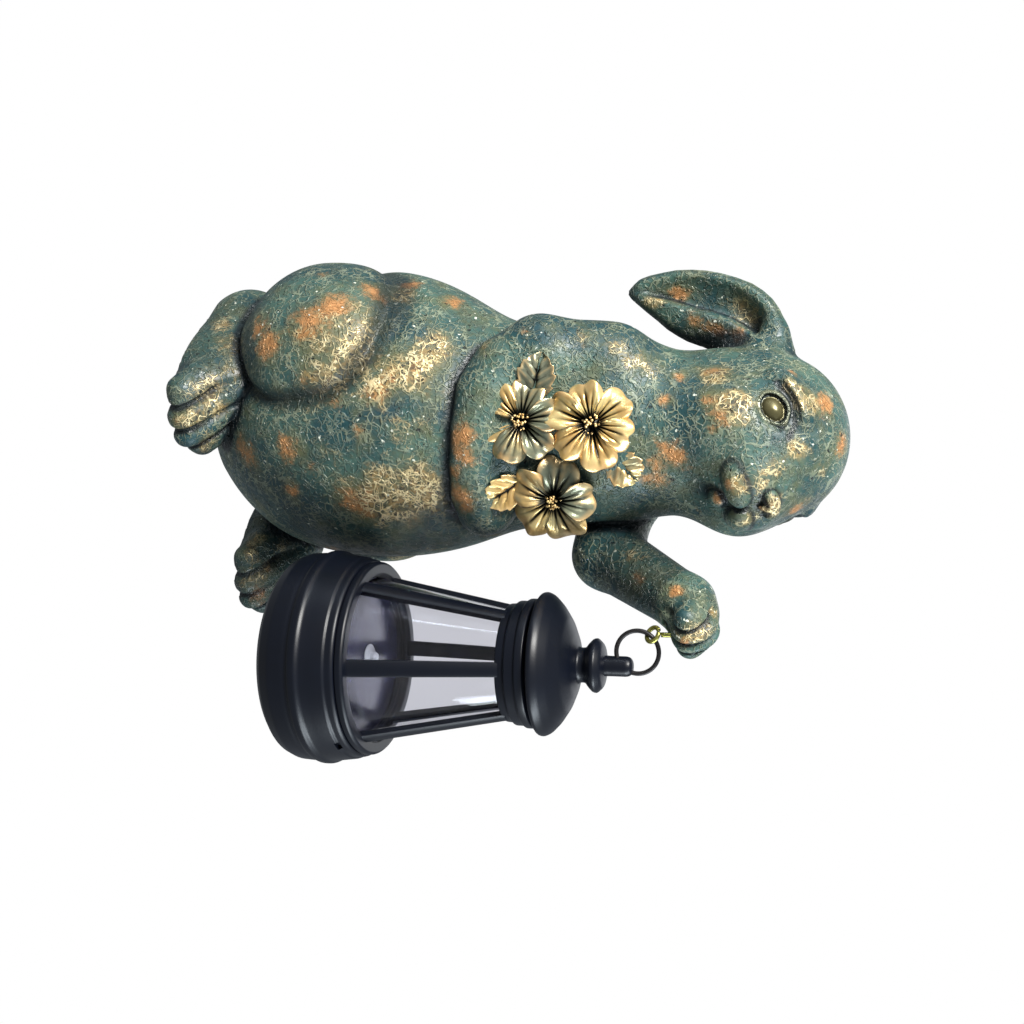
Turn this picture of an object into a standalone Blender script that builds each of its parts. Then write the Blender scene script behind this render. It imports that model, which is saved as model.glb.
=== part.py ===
"""Solar rabbit garden statue: a cast rabbit sitting up, with flowers at its chest and a small lantern hung from its raised paw.

Metres, +Z up. The rabbit's front looks toward -Y, its right side is -X. The floor is z = 0, under its feet and seat.
"""
import math

import bmesh
import bpy
import numpy as np
from mathutils import Matrix, Vector

for old in list(bpy.data.objects):
    bpy.data.objects.remove(old)

MM = 0.001
F = np.float32

PARTS = bpy.data.collections.new("solar_rabbit_statue")
CUTTERS = bpy.data.collections.new("cutters")
for c in (PARTS, CUTTERS):
    bpy.context.scene.collection.children.link(c)


# ---------------------------------------------------------------- the rabbit's form, in millimetres
def euler(x=0.0, y=0.0, z=0.0):
    x, y, z = np.radians((x, y, z))
    cx, sx, cy, sy, cz, sz = np.cos(x), np.sin(x), np.cos(y), np.sin(y), np.cos(z), np.sin(z)
    return (np.array([[cz, -sz, 0], [sz, cz, 0], [0, 0, 1]])
            @ np.array([[cy, 0, sy], [0, 1, 0], [-sy, 0, cy]])
            @ np.array([[1, 0, 0], [0, cx, -sx], [0, sx, cx]]))


def ball(p, centre, radii, turn=None):
    q = p - np.asarray(centre, F)
    if turn is not None:
        q = q @ np.asarray(turn, F)
    r = np.asarray(radii, F)
    a = q / r
    k0 = np.sqrt(np.einsum("ij,ij->i", a, a))
    b = a / r
    k1 = np.sqrt(np.einsum("ij,ij->i", b, b))
    return k0 * (k0 - 1) / np.maximum(k1, 1e-9)


def limb(p, a, b, ra, rb):
    a, b = np.asarray(a, F), np.asarray(b, F)
    ab = b - a
    q = p - a
    h = np.clip((q @ ab) / float(ab @ ab), 0, 1)
    q = q - h[:, None] * ab
    return np.sqrt(np.einsum("ij,ij->i", q, q)) - (ra + (rb - ra) * h)


def blend(a, b, k):
    h = np.maximum(k - np.abs(a - b), 0) / k
    return np.minimum(a, b) - h * h * k * 0.25


def carve(a, b, k):
    return -blend(-a, b, k)


def groove(d, p, points, reach, depth):
    """A crease along points, pressed in by its depth."""
    g = np.full(len(p), 99.0, F)
    for a, b in zip(points[:-1], points[1:]):
        g = np.minimum(g, limb(p, a, b, 0, 0))
    return d + depth * np.exp(-((g / reach) ** 2))


TRUNK = np.array([
    (-8, 20, -3), (0, 34, -3), (14, 48, -3), (28, 58, -3), (42, 64, -2), (56, 68, -1), (75, 70.5, 0.5), (91, 70, 0),
    (107, 66.5, -2), (122, 61, -5), (135, 54.5, -8), (147, 49, -10), (162, 46.5, -11), (177, 46, -11), (191, 46.5, -11),
    (201, 45.2, -11.5), (210, 41.2, -13.5), (217, 38.6, -15.5), (224, 37.0, -17.4), (236, 36.4, -18.2), (248, 35, -18)], float)
LEVEL = np.arange(-20, 275.0)


def eased(column):
    k = np.exp(-0.5 * (np.arange(-18, 19) / 6.0) ** 2)
    return np.convolve(np.interp(np.arange(-38, 293.0), TRUNK[:, 0], TRUNK[:, column]), k / k.sum(), "valid")


TRUNK_R, TRUNK_Y = eased(1), eased(2)
HEAD = np.array([1.8, -22.0, 255.5])
HEAD_TURN = euler(x=-11, z=-4)


def on_head(*q):
    return HEAD + HEAD_TURN @ np.array(q, float)


EYE = np.array([27.2, -17.0, 8.3])
EYE_AT = np.array([-30.5, -19.6, 8.8])
# the ear is a leaf laid in an upright plane that faces out and forward: across, up
EAR_EDGE = [(-21.7, 273.1), (-25.3, 274.4), (-29.9, 273.3), (-35.1, 271.5), (-40.0, 269.7), (-44.3, 268.0), (-49.4, 264.6),
            (-53.2, 260.6), (-56.7, 255.7), (-59.9, 248.6), (-62.3, 241.6), (-63.9, 234.9), (-64.7, 228.3), (-64.9, 221.0),
            (-64.1, 214.8), (-63.1, 208.7), (-61.5, 203.5), (-58.9, 199.2), (-56.9, 197.0), (-55.2, 196.8), (-52.4, 199.0),
            (-49.2, 203.0), (-45.8, 206.9), (-41.8, 211.7), (-37.5, 216.3), (-33.9, 221.3), (-30.9, 225.7), (-28.8, 230.6),
            (-27.2, 236.1), (-24.7, 242.5), (-21.6, 251.6), (-20.2, 265.1)]
EAR_FOLD = [(-22.0, 267.5), (-24.8, 264.2), (-28.1, 259.7), (-32.9, 255.2), (-38.4, 246.2), (-42.0, 237.1), (-45.3, 226.5),
            (-49.1, 216.2), (-52.3, 207.3), (-54.6, 199.7)]


def to_line(x, y, points, closed=False):
    """Distance to a line of points, and a sign: inside for a closed one, else the side it is on."""
    best = np.full(len(x), 1e9, F)
    sign = np.ones(len(x), F)
    n = len(points)
    for i in range(n if closed else n - 1):
        (ax, ay), (bx, by) = points[i], points[(i + 1) % n]
        ex, ey = bx - ax, by - ay
        wx, wy = x - F(ax), y - F(ay)
        h = np.clip((wx * ex + wy * ey) / (ex * ex + ey * ey), 0, 1)
        d = (wx - h * ex) ** 2 + (wy - h * ey) ** 2
        if closed:
            cross = ((y >= ay) != (y >= by)) & ((ex * wy > ey * wx) == (by > ay))
            sign[cross] *= -1
        else:
            sign = np.where(d < best, np.where(ex * wy > ey * wx, F(1), F(-1)), sign)
        best = np.minimum(best, d)
    return np.sqrt(best), sign


def ramp(x, a, b):
    t = np.clip((x - a) / (b - a), 0, 1)
    return t * t * (3 - 2 * t)


def ear(p, side):
    c = np.array((31.0 * side, 31.0, 233.0), F)
    far = np.sqrt(((p - c) ** 2).sum(1))
    out = far - F(48)
    i = np.flatnonzero(far < 62)
    if len(i) == 0:
        return out
    x, y, z = -side * p[i, 0], p[i, 1], p[i, 2]
    r, n = (x - y) * F(0.7071), F(2) - (x + y) * F(0.7071)
    e, sg = to_line(r, z, EAR_EDGE, True)
    edge = e * sg
    f, left = to_line(r, z, EAR_FOLD)
    f = f * left
    top = ramp(z, 240, 262)
    rim = (1.4 + 1.8 * top) * np.exp(-((e - 3.4 - 1.6 * top) / (3.0 + 1.4 * top)) ** 2)
    well = (-4.2 * ramp(e, 1.5, 15.0) - 1.2 * top * ramp(e, 6, 11)) * ramp(z, 198, 216) + rim - 7 * ramp(f, 0, 4)
    lobe = np.where(f > 0, 3.4 - 0.042 * f * f, 3.4 + (2.2 + 0.5 * top) * f)
    lobe = np.maximum(lobe - 1.8 * (1 - ramp(z, 199, 222)), -4.5)
    front = -blend(-well, -lobe, 1.4) + F(3.0) - 4.5 * ramp(z, 206, 196)
    back = F(-6.0) + 0.006 * (r + 48) ** 2 + 3.0 * ramp(z, 215, 198)
    d = -blend(-(n - front) * F(0.72), -(back - n) * F(0.9), 1.5)
    d = -blend(-d, -edge, 3.2)
    out[i] = np.minimum(d, F(20))
    return out


def frame_at(n, x):
    n = np.array(n) / np.linalg.norm(n)
    x = np.array(x) - n * (np.array(x) @ n)
    x /= np.linalg.norm(x)
    return np.stack([x, np.cross(n, x), n], 1)


EYE_TURN = frame_at((-0.82, -0.52, 0.24), (0.62, -0.72, 0.33))


def head(p):
    out = np.sqrt(((p - HEAD.astype(F)) ** 2).sum(1)) - F(60)
    i = np.flatnonzero(out < 25)
    if len(i) == 0:
        return out
    p = p[i]
    q = ((p - HEAD.astype(F)) @ HEAD_TURN.astype(F)).astype(F)
    m = q.copy()
    m[:, 0] = -np.abs(m[:, 0])
    h = ball(q, (0, 2, 11), (35.5, 37.5, 32.5))
    h = blend(h, ball(m, (-17.2, -11, -7.5), (20.5, 22, 20)), 12)
    h = blend(h, ball(q, (0, -23, -1), (20, 20, 19)), 12)
    h = blend(h, ball(p, (-12, -3, 248), (18.5, 18.5, 20)), 12)
    # brow and eye
    e = ((m - EYE_AT.astype(F)) @ EYE_TURN.astype(F)).astype(F)
    h = blend(h, ball(e, (-3.5, 11.0, -2.6), (11, 4.6, 3.4)), 8)
    h = carve(h, limb(e, (-6, 8.0, 3.3), (3, 7.6, 3.2), 2.0, 1.6), 4)
    h = carve(h, ball(e, (0.6, 0.2, 3.6), (9.6, 7.6, 4.6)), 3)
    h = carve(h, limb(e, (6, -0.6, 1.2), (15.0, 0.4, 1.9), 2.0, 1.2), 2)
    h = np.minimum(h, ball(e, (-0.3, -0.1, -1.9), (6.2, 5.1, 4.3)))
    # muzzle, nose and chin
    pad = frame_at((-0.65, -0.75, 0.05), (-0.75, 0.65, 0.0))
    h = blend(h, ball(m, (-7.5, -36.0, -4.5), (8.0, 6.5, 7.0)), 8)
    h = blend(h, ball(m, (-9.8, -37.6, -9.8), (9.6, 6.2, 5.8), pad), 1.6)
    h = carve(h, limb(q, (0, -46.5, -2.6), (0, -43.4, -12.5), 1.5, 1.2), 1.6)
    h = blend(h, ball(q, (0, -35.2, -17.6), (4.0, 4.0, 3.7)), 1.4)
    n = blend(ball(m, (-3.8, -43.8, 2.6), (3.6, 3.5, 3.3)), ball(q, (0, -45.2, 3.6), (4.6, 3.4, 3.2)), 2.5)
    n = blend(n, limb(q, (0, -46.2, 1.5), (0, -45.0, -1.8), 1.7, 1.1), 1.0)
    h = blend(h, n, 0.9)
    out[i] = h
    return out


def thigh(p, centre, radii, up):
    """An egg: rounder below its middle than above."""
    q = p - np.asarray(centre, F)
    q[:, 2] = np.where(q[:, 2] > 0, q[:, 2] * F(radii[2] / up), q[:, 2])
    return ball(q, (0, 0, 0), radii)


def seam(a, b, reach, depth):
    """Two forms that meet in a crease."""
    return np.minimum(a, b) + depth * np.exp(-((a - b) / reach) ** 2)


def foot(p, x, y, splay, instep=5):
    turn = euler(z=splay).astype(F)
    q = ((p - np.array((x, y, 8.0), F)) @ turn).astype(F)
    g = ball(q, (0, 2, 0), (20.5, 44, 21.5))
    g = blend(g, ball(q, (0, 32, 4), (20, 20, 20)), 9)
    g = blend(g, ball(q, (-1, -8, instep), (17, 23, 23.5)), 8)
    for tx, ty, tr in ((-14.5, -31, 6.8), (-5.6, -37.5, 7.4), (4.8, -39.5, 7.6), (14, -34, 7.0)):
        g = blend(g, limb(q, (tx, ty + 7, 2.5), (tx, ty - 1, -2.0), tr, tr * 0.95), 6)
    plan = q.copy()
    plan[:, 2] = 0
    fade = ramp(q[:, 1], -14, -27)
    for line in TOE_LINES:
        g = groove(g, plan, line, 1.7, 2.2 * fade)
    return g


TOE_LINES = [[(-8.4, -14, 0), (-10.4, -26, 0), (-10.4, -60, 0)], [(-0.2, -16, 0), (-0.5, -28, 0), (-0.5, -60, 0)],
             [(8.2, -15, 0), (9.6, -27, 0), (9.8, -60, 0)]]
HIP_LINE = [(-65.4, 6.8, 107.5), (-65.9, -2.6, 107.8), (-64.9, -15.4, 106.7), (-62.8, -25.6, 102.9), (-60.0, -33.5, 98.0)]
FOLDED_ARM = [(-45.7, -13.7, 165.4), (-44.5, -23.5, 152.5), (-38.5, -34.5, 144.6), (-28.5, -44.0, 141.0), (-17.0, -51.0, 139.0),
              (-5.0, -56.0, 138.6), (5.5, -57.5, 139.8)]
FINGERS = ((27.2, -103.5), (32.6, -105.8), (39.0, -106.3), (45.0, -104.5))
FINGER_GAPS = (29.6, 35.8, 42.1)


def chain(p, points, radii):
    d = np.full(len(p), 1e3, F)
    for i in range(len(points) - 1):
        d = np.minimum(d, limb(p, points[i], points[i + 1], radii[i], radii[i + 1]))
    return d


def paw(p, a):
    """The raised paw, bent down, with its fingers; a is the arm it ends."""
    near = np.flatnonzero(np.abs(p - np.array((36, -102, 233), F)).max(1) < 30)
    if len(near) == 0:
        return a
    h, q = a[near], p[near]
    for x, y in FINGERS:
        h = blend(h, limb(q, (0.4 * x + 22, y + 13, 237.0), (x, y, 232.6), 5.6, 4.9), 4)
    fade = ramp(q[:, 1], -91, -99) * ramp(q[:, 2], 219, 224)
    for x in FINGER_GAPS:
        g = q[:, 0] - x - (36 - x) * 0.30 * ramp(q[:, 1], -101, -88)
        h = h + 2.1 * fade * np.exp(-((g / 1.35) ** 2))
    a = a.copy()
    a[near] = h
    return a


def rabbit(p):
    z = p[:, 2]
    radius, mid = np.interp(z, LEVEL, TRUNK_R).astype(F), np.interp(z, LEVEL, TRUNK_Y).astype(F)
    d = np.sqrt(p[:, 0] ** 2 + (p[:, 1] - mid) ** 2) - radius
    d = carve(d * 0.94, 244 - z, 20)
    d = blend(d, limb(p, (-37.5, -10.6, 197.1), (-45.0, -14.4, 168.1), 15.5, 16), 14)
    d = blend(d, head(p), 13)
    m = p * np.array([1, 1, 1], F)
    m[:, 0] = -np.abs(m[:, 0] + 1) - 1
    d = groove(d, m, HIP_LINE, 3.4, 1.2)
    t = blend(thigh(m, (-45, -1, 58), (35, 46.5, 38), 55), ball(m, (-47, -15, 73), (29, 29, 25)), 9)
    d = seam(d, t, 2.2, 1.3)
    d = seam(d, foot(p, -43.0, -14.5, 0.0), 2.0, 0.8)
    d = seam(d, foot(p, 56.5, -28.0, -2.0, 2), 2.0, 0.8)
    a = chain(p, FOLDED_ARM, (15.5, 15.3, 15.2, 15, 15, 14.8, 14.2))
    a = blend(a, limb(p, (-33.7, -20.1, 171.7), (-16.9, -39.7, 158.4), 19, 17), 12)
    w = ramp(z, 142, 160)
    d = (1 - w) * seam(d, a, 2.2, 1.0) + w * blend(d, a, 7)
    a = limb(p, (37.4, -26.1, 191.5), (44.8, -51.8, 190.0), 18.0, 16)
    a = blend(a, limb(p, (44.8, -51.8, 190.0), (37.4, -86.8, 229.8), 15.8, 12.6), 5)
    a = blend(a, limb(p, (37.4, -86.8, 229.8), (36.5, -100.6, 235.0), 12.6, 10.8), 4)
    d = seam(d, paw(p, a), 2.0, 0.8)
    for s in (-1, 1):
        e = blend(ear(p, s), limb(p, (11 * s, 7, 260), (24 * s, 22.5, 264.5), 11, 5.5), 6)
        d = blend(d, e, 9)
    d = blend(d, ball(p, (0, 64, 26), (17, 15, 16)), 4)
    return np.maximum(d, -z - 4)


# flower: middle, facing, radius, petals, first petal's angle
FLOWERS = (((-32.2, -47.6, 193.0), (-0.70, -0.71, 0.10), 19.5, 6, 10),
           ((-34.0, -46.6, 162.4), (-0.70, -0.70, 0.05), 18.5, 6, 40),
           ((-1.0, -60.0, 173.0), (-0.30, -0.95, 0.08), 17.5, 5, 20))
# leaf: stem end, tip, facing, half width
LEAVES = (((-19.0, -50.5, 199.0), (-8.0, -53.5, 211.5), (-0.45, -0.88, 0.15), 8.0),
          ((-44.0, -38.0, 167.0), (-57.0, -24.0, 173.5), (-0.72, -0.68, 0.10), 6.0),
          ((-11.0, -60.0, 160.0), (-5.5, -66.0, 145.0), (-0.35, -0.90, 0.25), 7.5))


def bouquet(p):
    d = np.full(len(p), 99.0, F)
    for c, n, r, petals, first in FLOWERS:
        c, n = np.array(c), np.array(n) / np.linalg.norm(n)
        e1 = np.cross((0, 0, 1.0), n)
        e1 /= np.linalg.norm(e1)
        e2 = np.cross(n, e1)
        for i in range(petals):
            t = math.radians(first + 360 * i / petals)
            out = e1 * math.cos(t) + e2 * math.sin(t)
            along = out * 0.94 + n * 0.34
            up = n * 0.94 - out * 0.34
            turn = np.stack([np.cross(along, up), along, up], 1)
            d = np.minimum(d, ball(p, c + along * r * 0.55, (r * 0.40, r * 0.50, 2.3), turn))
        d = blend(d, ball(p, c + n * 1.5, (4, 4, 4)), 1)
        d = blend(d, limb(p, c - n * 8, c, 6, 6), 2)
    for stem, tip, n, w in LEAVES:
        stem, tip = np.array(stem), np.array(tip)
        along = (tip - stem) / np.linalg.norm(tip - stem)
        n = np.array(n) - along * (np.array(n) @ along)
        n /= np.linalg.norm(n)
        turn = np.stack([np.cross(along, n), along, n], 1)
        d = np.minimum(d, ball(p, (stem + tip) / 2, (w, np.linalg.norm(tip - stem) * 0.6, 2.4), turn))
    return d


def statue(p):
    return blend(rabbit(p), bouquet(p), 1.0)


# ---------------------------------------------------------------- modelling helpers
def material(name, colour, metallic=0.0, roughness=0.5, transmission=0.0):
    m = bpy.data.materials.new(name)
    m.use_nodes = True
    s = m.node_tree.nodes["Principled BSDF"]
    s.inputs["Base Color"].default_value = (*colour, 1.0)
    s.inputs["Metallic"].default_value = metallic
    s.inputs["Roughness"].default_value = roughness
    s.inputs["Transmission Weight"].default_value = transmission
    m.diffuse_color = (*colour, 1.0)
    return m


def settle(ob, name, mat=None, where=PARTS):
    """Names the object, gives it its material and puts it in its collection alone."""
    ob.name = ob.data.name = name
    if mat is not None:
        ob.data.materials.clear()
        ob.data.materials.append(mat)
    for c in list(ob.users_collection):
        c.objects.unlink(ob)
    where.objects.link(ob)
    if where is CUTTERS:
        ob.hide_render = True
        ob.display_type = "WIRE"
    return ob


def apply_all(ob):
    bpy.ops.object.select_all(action="DESELECT")
    bpy.context.view_layer.objects.active = ob
    ob.select_set(True)
    for m in list(ob.modifiers):
        bpy.ops.object.modifier_apply(modifier=m.name)
    bpy.ops.object.transform_apply(location=True, rotation=True, scale=True)


def join(objects):
    bpy.ops.object.select_all(action="DESELECT")
    for o in objects:
        o.select_set(True)
    bpy.context.view_layer.objects.active = objects[0]
    bpy.ops.object.join()
    return objects[0]


def sphere(centre, radii, turn=None, segments=24):
    bpy.ops.mesh.primitive_uv_sphere_add(segments=segments, ring_count=segments // 2, radius=1.0)
    ob = bpy.context.object
    m = Matrix(np.eye(3) if turn is None else turn).to_4x4() @ Matrix.Diagonal((*[r * MM for r in radii], 1.0))
    m.translation = Vector(centre) * MM
    ob.matrix_world = m
    bpy.context.view_layer.update()
    bpy.ops.object.transform_apply(location=True, rotation=True, scale=True)
    return ob


def capsule(a, b, ra, rb):
    a, b = Vector(a), Vector(b)
    out = [sphere(a, (ra,) * 3), sphere(b, (rb,) * 3)]
    bpy.ops.mesh.primitive_cone_add(vertices=24, radius1=ra * MM, radius2=rb * MM, depth=(b - a).length * MM)
    ob = bpy.context.object
    m = (b - a).to_track_quat("Z", "Y").to_matrix().to_4x4()
    m.translation = (a + b) / 2 * MM
    ob.matrix_world = m
    bpy.context.view_layer.update()
    bpy.ops.object.transform_apply(location=True, rotation=True, scale=True)
    return out + [ob]


def lathe(name, mat, profile, centre, steps=36, where=PARTS):
    """A ring or disc turned from (radius, height) pairs in millimetres, listed down the outer side."""
    me = bpy.data.meshes.new(name)
    ob = bpy.data.objects.new(name, me)
    where.objects.link(ob)
    bm = bmesh.new()
    vs = [bm.verts.new((r * MM, 0, z * MM)) for r, z in profile]
    closed = profile[0][0] > 0
    for i in range(len(vs) - (0 if closed else 1)):
        bm.edges.new((vs[i], vs[(i + 1) % len(vs)]))
    bm.to_mesh(me)
    bm.free()
    s = ob.modifiers.new("Screw", "SCREW")
    s.axis, s.angle, s.screw_offset = "Z", math.tau, 0.0
    s.steps = s.render_steps = steps
    s.use_merge_vertices, s.merge_threshold = True, 0.00001
    s.use_smooth_shade = False
    ob.location = Vector(centre) * MM
    bpy.context.view_layer.update()
    apply_all(ob)
    return settle(ob, name, mat, where)


def boolean(ob, cutter, operation="DIFFERENCE"):
    m = ob.modifiers.new(operation.title(), "BOOLEAN")
    m.operation, m.solver, m.object = operation, "EXACT", cutter
    bpy.ops.object.select_all(action="DESELECT")
    bpy.context.view_layer.objects.active = ob
    ob.select_set(True)
    bpy.ops.object.modifier_apply(modifier=m.name)


def torus(name, centre, normal, major, minor, n_major=32, n_minor=8, mat=None, where=PARTS):
    bpy.ops.mesh.primitive_torus_add(major_radius=major * MM, minor_radius=minor * MM, major_segments=n_major, minor_segments=n_minor)
    ob = bpy.context.object
    m = Vector(normal).normalized().to_track_quat("Z", "Y").to_matrix().to_4x4()
    m.translation = Vector(centre) * MM
    ob.matrix_world = m
    bpy.context.view_layer.update()
    bpy.ops.object.transform_apply(location=True, rotation=True, scale=True)
    return settle(ob, name, mat, where)


# ---------------------------------------------------------------- materials
PATINA = material("patina_resin", (0.13, 0.24, 0.24), roughness=0.6)
BRASS = material("brass_hook", (0.62, 0.55, 0.20), metallic=1.0, roughness=0.35)
WIRE = material("black_wire", (0.03, 0.03, 0.035), metallic=0.6, roughness=0.4)
BLACK = material("black_plastic", (0.012, 0.013, 0.017), roughness=0.42)
BLACK_CAGE = material("black_plastic_cage", (0.012, 0.013, 0.017), roughness=0.42)
BLACK_BASE = material("black_plastic_base", (0.012, 0.013, 0.017), roughness=0.42)
GLASS = material("clear_glass", (0.95, 0.96, 0.98), roughness=0.04, transmission=1.0)
CELL = material("solar_cell", (0.02, 0.025, 0.06), roughness=0.2)
LED = material("clear_led", (0.8, 0.82, 0.86), roughness=0.15)

# ---------------------------------------------------------------- the rabbit: primitives, remeshed as one, eased to the form
solids = []
for z0 in range(6, 236, 10):
    r, y = float(np.interp(z0, LEVEL, TRUNK_R)), float(np.interp(z0, LEVEL, TRUNK_Y))
    solids.append(sphere((0, y, z0), (r * 0.98, r * 0.98, 14), segments=32))
solids += capsule((-37.5, -10.6, 197.1), (-45.0, -14.4, 168.1), 15.5, 16)
solids += [sphere(on_head(0, 2, 11), (35, 37, 32), HEAD_TURN, 32),
           sphere(on_head(-17.2, -11, -7.5), (20.5, 22, 20), HEAD_TURN),
           sphere(on_head(17.2, -11, -7.5), (20.5, 22, 20), HEAD_TURN),
           sphere(on_head(0, -23, -1), (20, 20, 19), HEAD_TURN),
           sphere((-12, -3, 248), (18.5, 18.5, 20)),
           sphere(on_head(-8.5, -37, -9.5), (8, 7, 6), HEAD_TURN),
           sphere(on_head(8.5, -37, -9.5), (8, 7, 6), HEAD_TURN),
           sphere(on_head(0, -35.2, -17.6), (4, 4, 3.7), HEAD_TURN),
           sphere(on_head(0, -44.5, 3), (6.5, 4, 3.6), HEAD_TURN),
           sphere((0, 64, 26), (17, 15, 16))]
for x in (-45.0, 43.0):
    solids += [sphere((x, -1, 60), (35, 46.5, 42), None, 32), sphere((x, -1, 66), (33, 43, 44), None, 32),
               sphere((x + math.copysign(2, x), -15, 73), (28, 28, 25))]
for x, y, splay in ((-43.0, -14.5, 0.0), (56.5, -28.0, -2.0)):
    turn = euler(z=splay)
    c = np.array((x, y, 8.0))
    solids += [sphere(c + turn @ np.array((0, 2, 0)), (20.5, 44, 21.5), turn), sphere(c + turn @ np.array((0, 32, 4.0)), (20, 20, 20), turn),
               sphere(c + turn @ np.array((-1, -8, 5)), (17, 23, 23.5), turn)]
    for tx, ty, tr in ((-14.5, -31, 6.8), (-5.6, -37.5, 7.4), (4.8, -39.5, 7.6), (14, -34, 7.0)):
        solids += capsule(c + turn @ np.array((tx, ty + 7, 2.5)), c + turn @ np.array((tx, ty - 1, -2.0)), tr, tr * 0.95)
for a, b in zip(FOLDED_ARM[:-1], FOLDED_ARM[1:]):
    solids += capsule(a, b, 15, 15)
solids += capsule((-33.7, -20.1, 171.7), (-16.9, -39.7, 158.4), 19, 17)
solids += capsule((37.4, -26.1, 191.5), (44.8, -51.8, 190.0), 18, 16)
solids += capsule((44.8, -51.8, 190.0), (37.4, -86.8, 229.8), 15.8, 12.6)
solids += capsule((37.4, -86.8, 229.8), (36.5, -100.6, 235.0), 12.6, 10.8)
for x, y in FINGERS:
    solids += capsule((0.4 * x + 22, y + 13, 237.0), (x, y, 232.6), 5.6, 4.9)
for s in (-1, 1):
    flip = np.array([-s, 1, 1.0])
    across_ear, front_ear, up_ear = np.array([0.7071, -0.7071, 0]), np.array([-0.7071, -0.7071, 0]), np.array([0, 0, 1.0])

    def on_ear(r, z, n=0.0):
        return across_ear * r + front_ear * (n - 2) + up_ear * z

    lean = math.radians(11.5)
    up_leaf = up_ear * math.cos(lean) + across_ear * math.sin(lean)
    turn = np.stack([np.cross(front_ear, up_leaf), front_ear, up_leaf], 1)
    turn[:, 0] *= np.linalg.det(turn)
    turn_s = turn if s < 0 else np.diag([-1, 1, 1.0]) @ turn @ np.diag([-1, 1, 1.0])
    solids.append(sphere(on_ear(-45.5, 233) * flip, (17, 5, 36), turn_s))
    solids += capsule(on_ear(-49, 214) * flip, on_ear(-54.5, 201.5) * flip, 7, 3.2)
    solids += capsule(on_ear(-27, 264) * flip, on_ear(-47, 256) * flip, 6.5, 5.5)
    solids += capsule(np.array((-11, 7, 260.0)) * flip, np.array((-24, 22.5, 264.5)) * flip, 10.5, 5.5)
for c, n, r, petals, first in FLOWERS:
    c, n = np.array(c), np.array(n) / np.linalg.norm(n)
    e1 = np.cross((0, 0, 1.0), n)
    e1 /= np.linalg.norm(e1)
    e2 = np.cross(n, e1)
    for i in range(petals):
        t = math.radians(first + 360 * i / petals)
        o = e1 * math.cos(t) + e2 * math.sin(t)
        along, up = o * 0.94 + n * 0.34, n * 0.94 - o * 0.34
        solids.append(sphere(c + along * r * 0.55, (r * 0.40, r * 0.50, 2.3), np.stack([np.cross(along, up), along, up], 1)))
    solids += capsule(c - n * 8, c, 6, 6)
    solids.append(sphere(c + n * 1.5, (4, 4, 4)))
for stem, tip, n, w in LEAVES:
    stem, tip = np.array(stem), np.array(tip)
    along = (tip - stem) / np.linalg.norm(tip - stem)
    n = np.array(n) - along * (np.array(n) @ along)
    n /= np.linalg.norm(n)
    solids.append(sphere((stem + tip) / 2, (w, np.linalg.norm(tip - stem) * 0.6, 2.4), np.stack([np.cross(along, n), along, n], 1)))

body = join(solids)
m = body.modifiers.new("Remesh", "REMESH")
m.mode, m.voxel_size, m.adaptivity = "VOXEL", 1.5 * MM, 0.0
apply_all(body)
settle(body, "rabbit_statue", PATINA)

me = body.data
co = np.empty(len(me.vertices) * 3, F)
me.vertices.foreach_get("co", co)
v = co.reshape(-1, 3) / F(MM)
edges = np.empty(len(me.edges) * 2, np.int32)
me.edges.foreach_get("vertices", edges)
edges = edges.reshape(-1, 2)
degree = np.bincount(edges.ravel(), minlength=len(v)).astype(F)[:, None]


def smoothed(v):
    s = np.zeros_like(v)
    for k in range(3):
        s[:, k] = (np.bincount(edges[:, 0], v[edges[:, 1], k], len(v)) + np.bincount(edges[:, 1], v[edges[:, 0], k], len(v)))
    return s / degree


for step in range(6):
    d = statue(v)
    g = np.stack([statue(v + np.eye(3, dtype=F)[k] * F(0.2)) - d for k in range(3)], 1) / F(0.2)
    v = v - (np.clip(d, -2.0, 2.0) / np.maximum((g * g).sum(1), 0.25))[:, None] * g
    if step in (0, 1, 2, 4):
        v = (v + smoothed(v)) / 2
me.vertices.foreach_set("co", (v * F(MM)).ravel())
me.update()
m = body.modifiers.new("Decimate", "DECIMATE")
m.ratio = 4500 / (len(me.polygons) * 2)
m.use_collapse_triangulate = True
apply_all(body)

# flat underside at the floor
bpy.ops.mesh.primitive_cube_add(size=1.0, location=(0, 0, -0.015))
floor_cut = bpy.context.object
floor_cut.scale = (0.3, 0.36, 0.03)
apply_all(floor_cut)
settle(floor_cut, "floor_cut", where=CUTTERS)
boolean(body, floor_cut)

# ---------------------------------------------------------------- the hook under the paw, its hole, and the ring
AXIS = (49.2, -112.9)          # the lantern's upright middle line
TO_VIEW = (-0.7071, -0.7071)   # the side of the lantern with a bar and the ring's face
RING_C, RING_R, WIRE_R = (43.9, -109.0, 210.8), 9.2, 1.0
across = Vector((0.7071, -0.7071, 0))   # sideways in the ring's plane
eye_c = Vector(RING_C) + across * -7.75 + Vector((0, 0, 6.6))
tangent = across * 0.65 + Vector((0, 0, 0.76))
ring = torus("hanging_ring", RING_C, (*TO_VIEW, 0), RING_R, WIRE_R, 28, 6, WIRE)
hook = torus("paw_hook", eye_c, tangent * 0.72 + Vector((*TO_VIEW, 0)) * -0.69, 3.3, 1.0, 20, 6, BRASS)
SHANK_TOP = 232.0
bpy.ops.mesh.primitive_cylinder_add(vertices=10, radius=1.1 * MM, depth=(SHANK_TOP - eye_c.z - 3.0) * MM)
shank = bpy.context.object
shank.location = Vector((eye_c.x, eye_c.y, (SHANK_TOP + eye_c.z + 3.0) / 2)) * MM
apply_all(shank)
settle(shank, "shank", where=CUTTERS)
boolean(hook, shank, "UNION")
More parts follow.
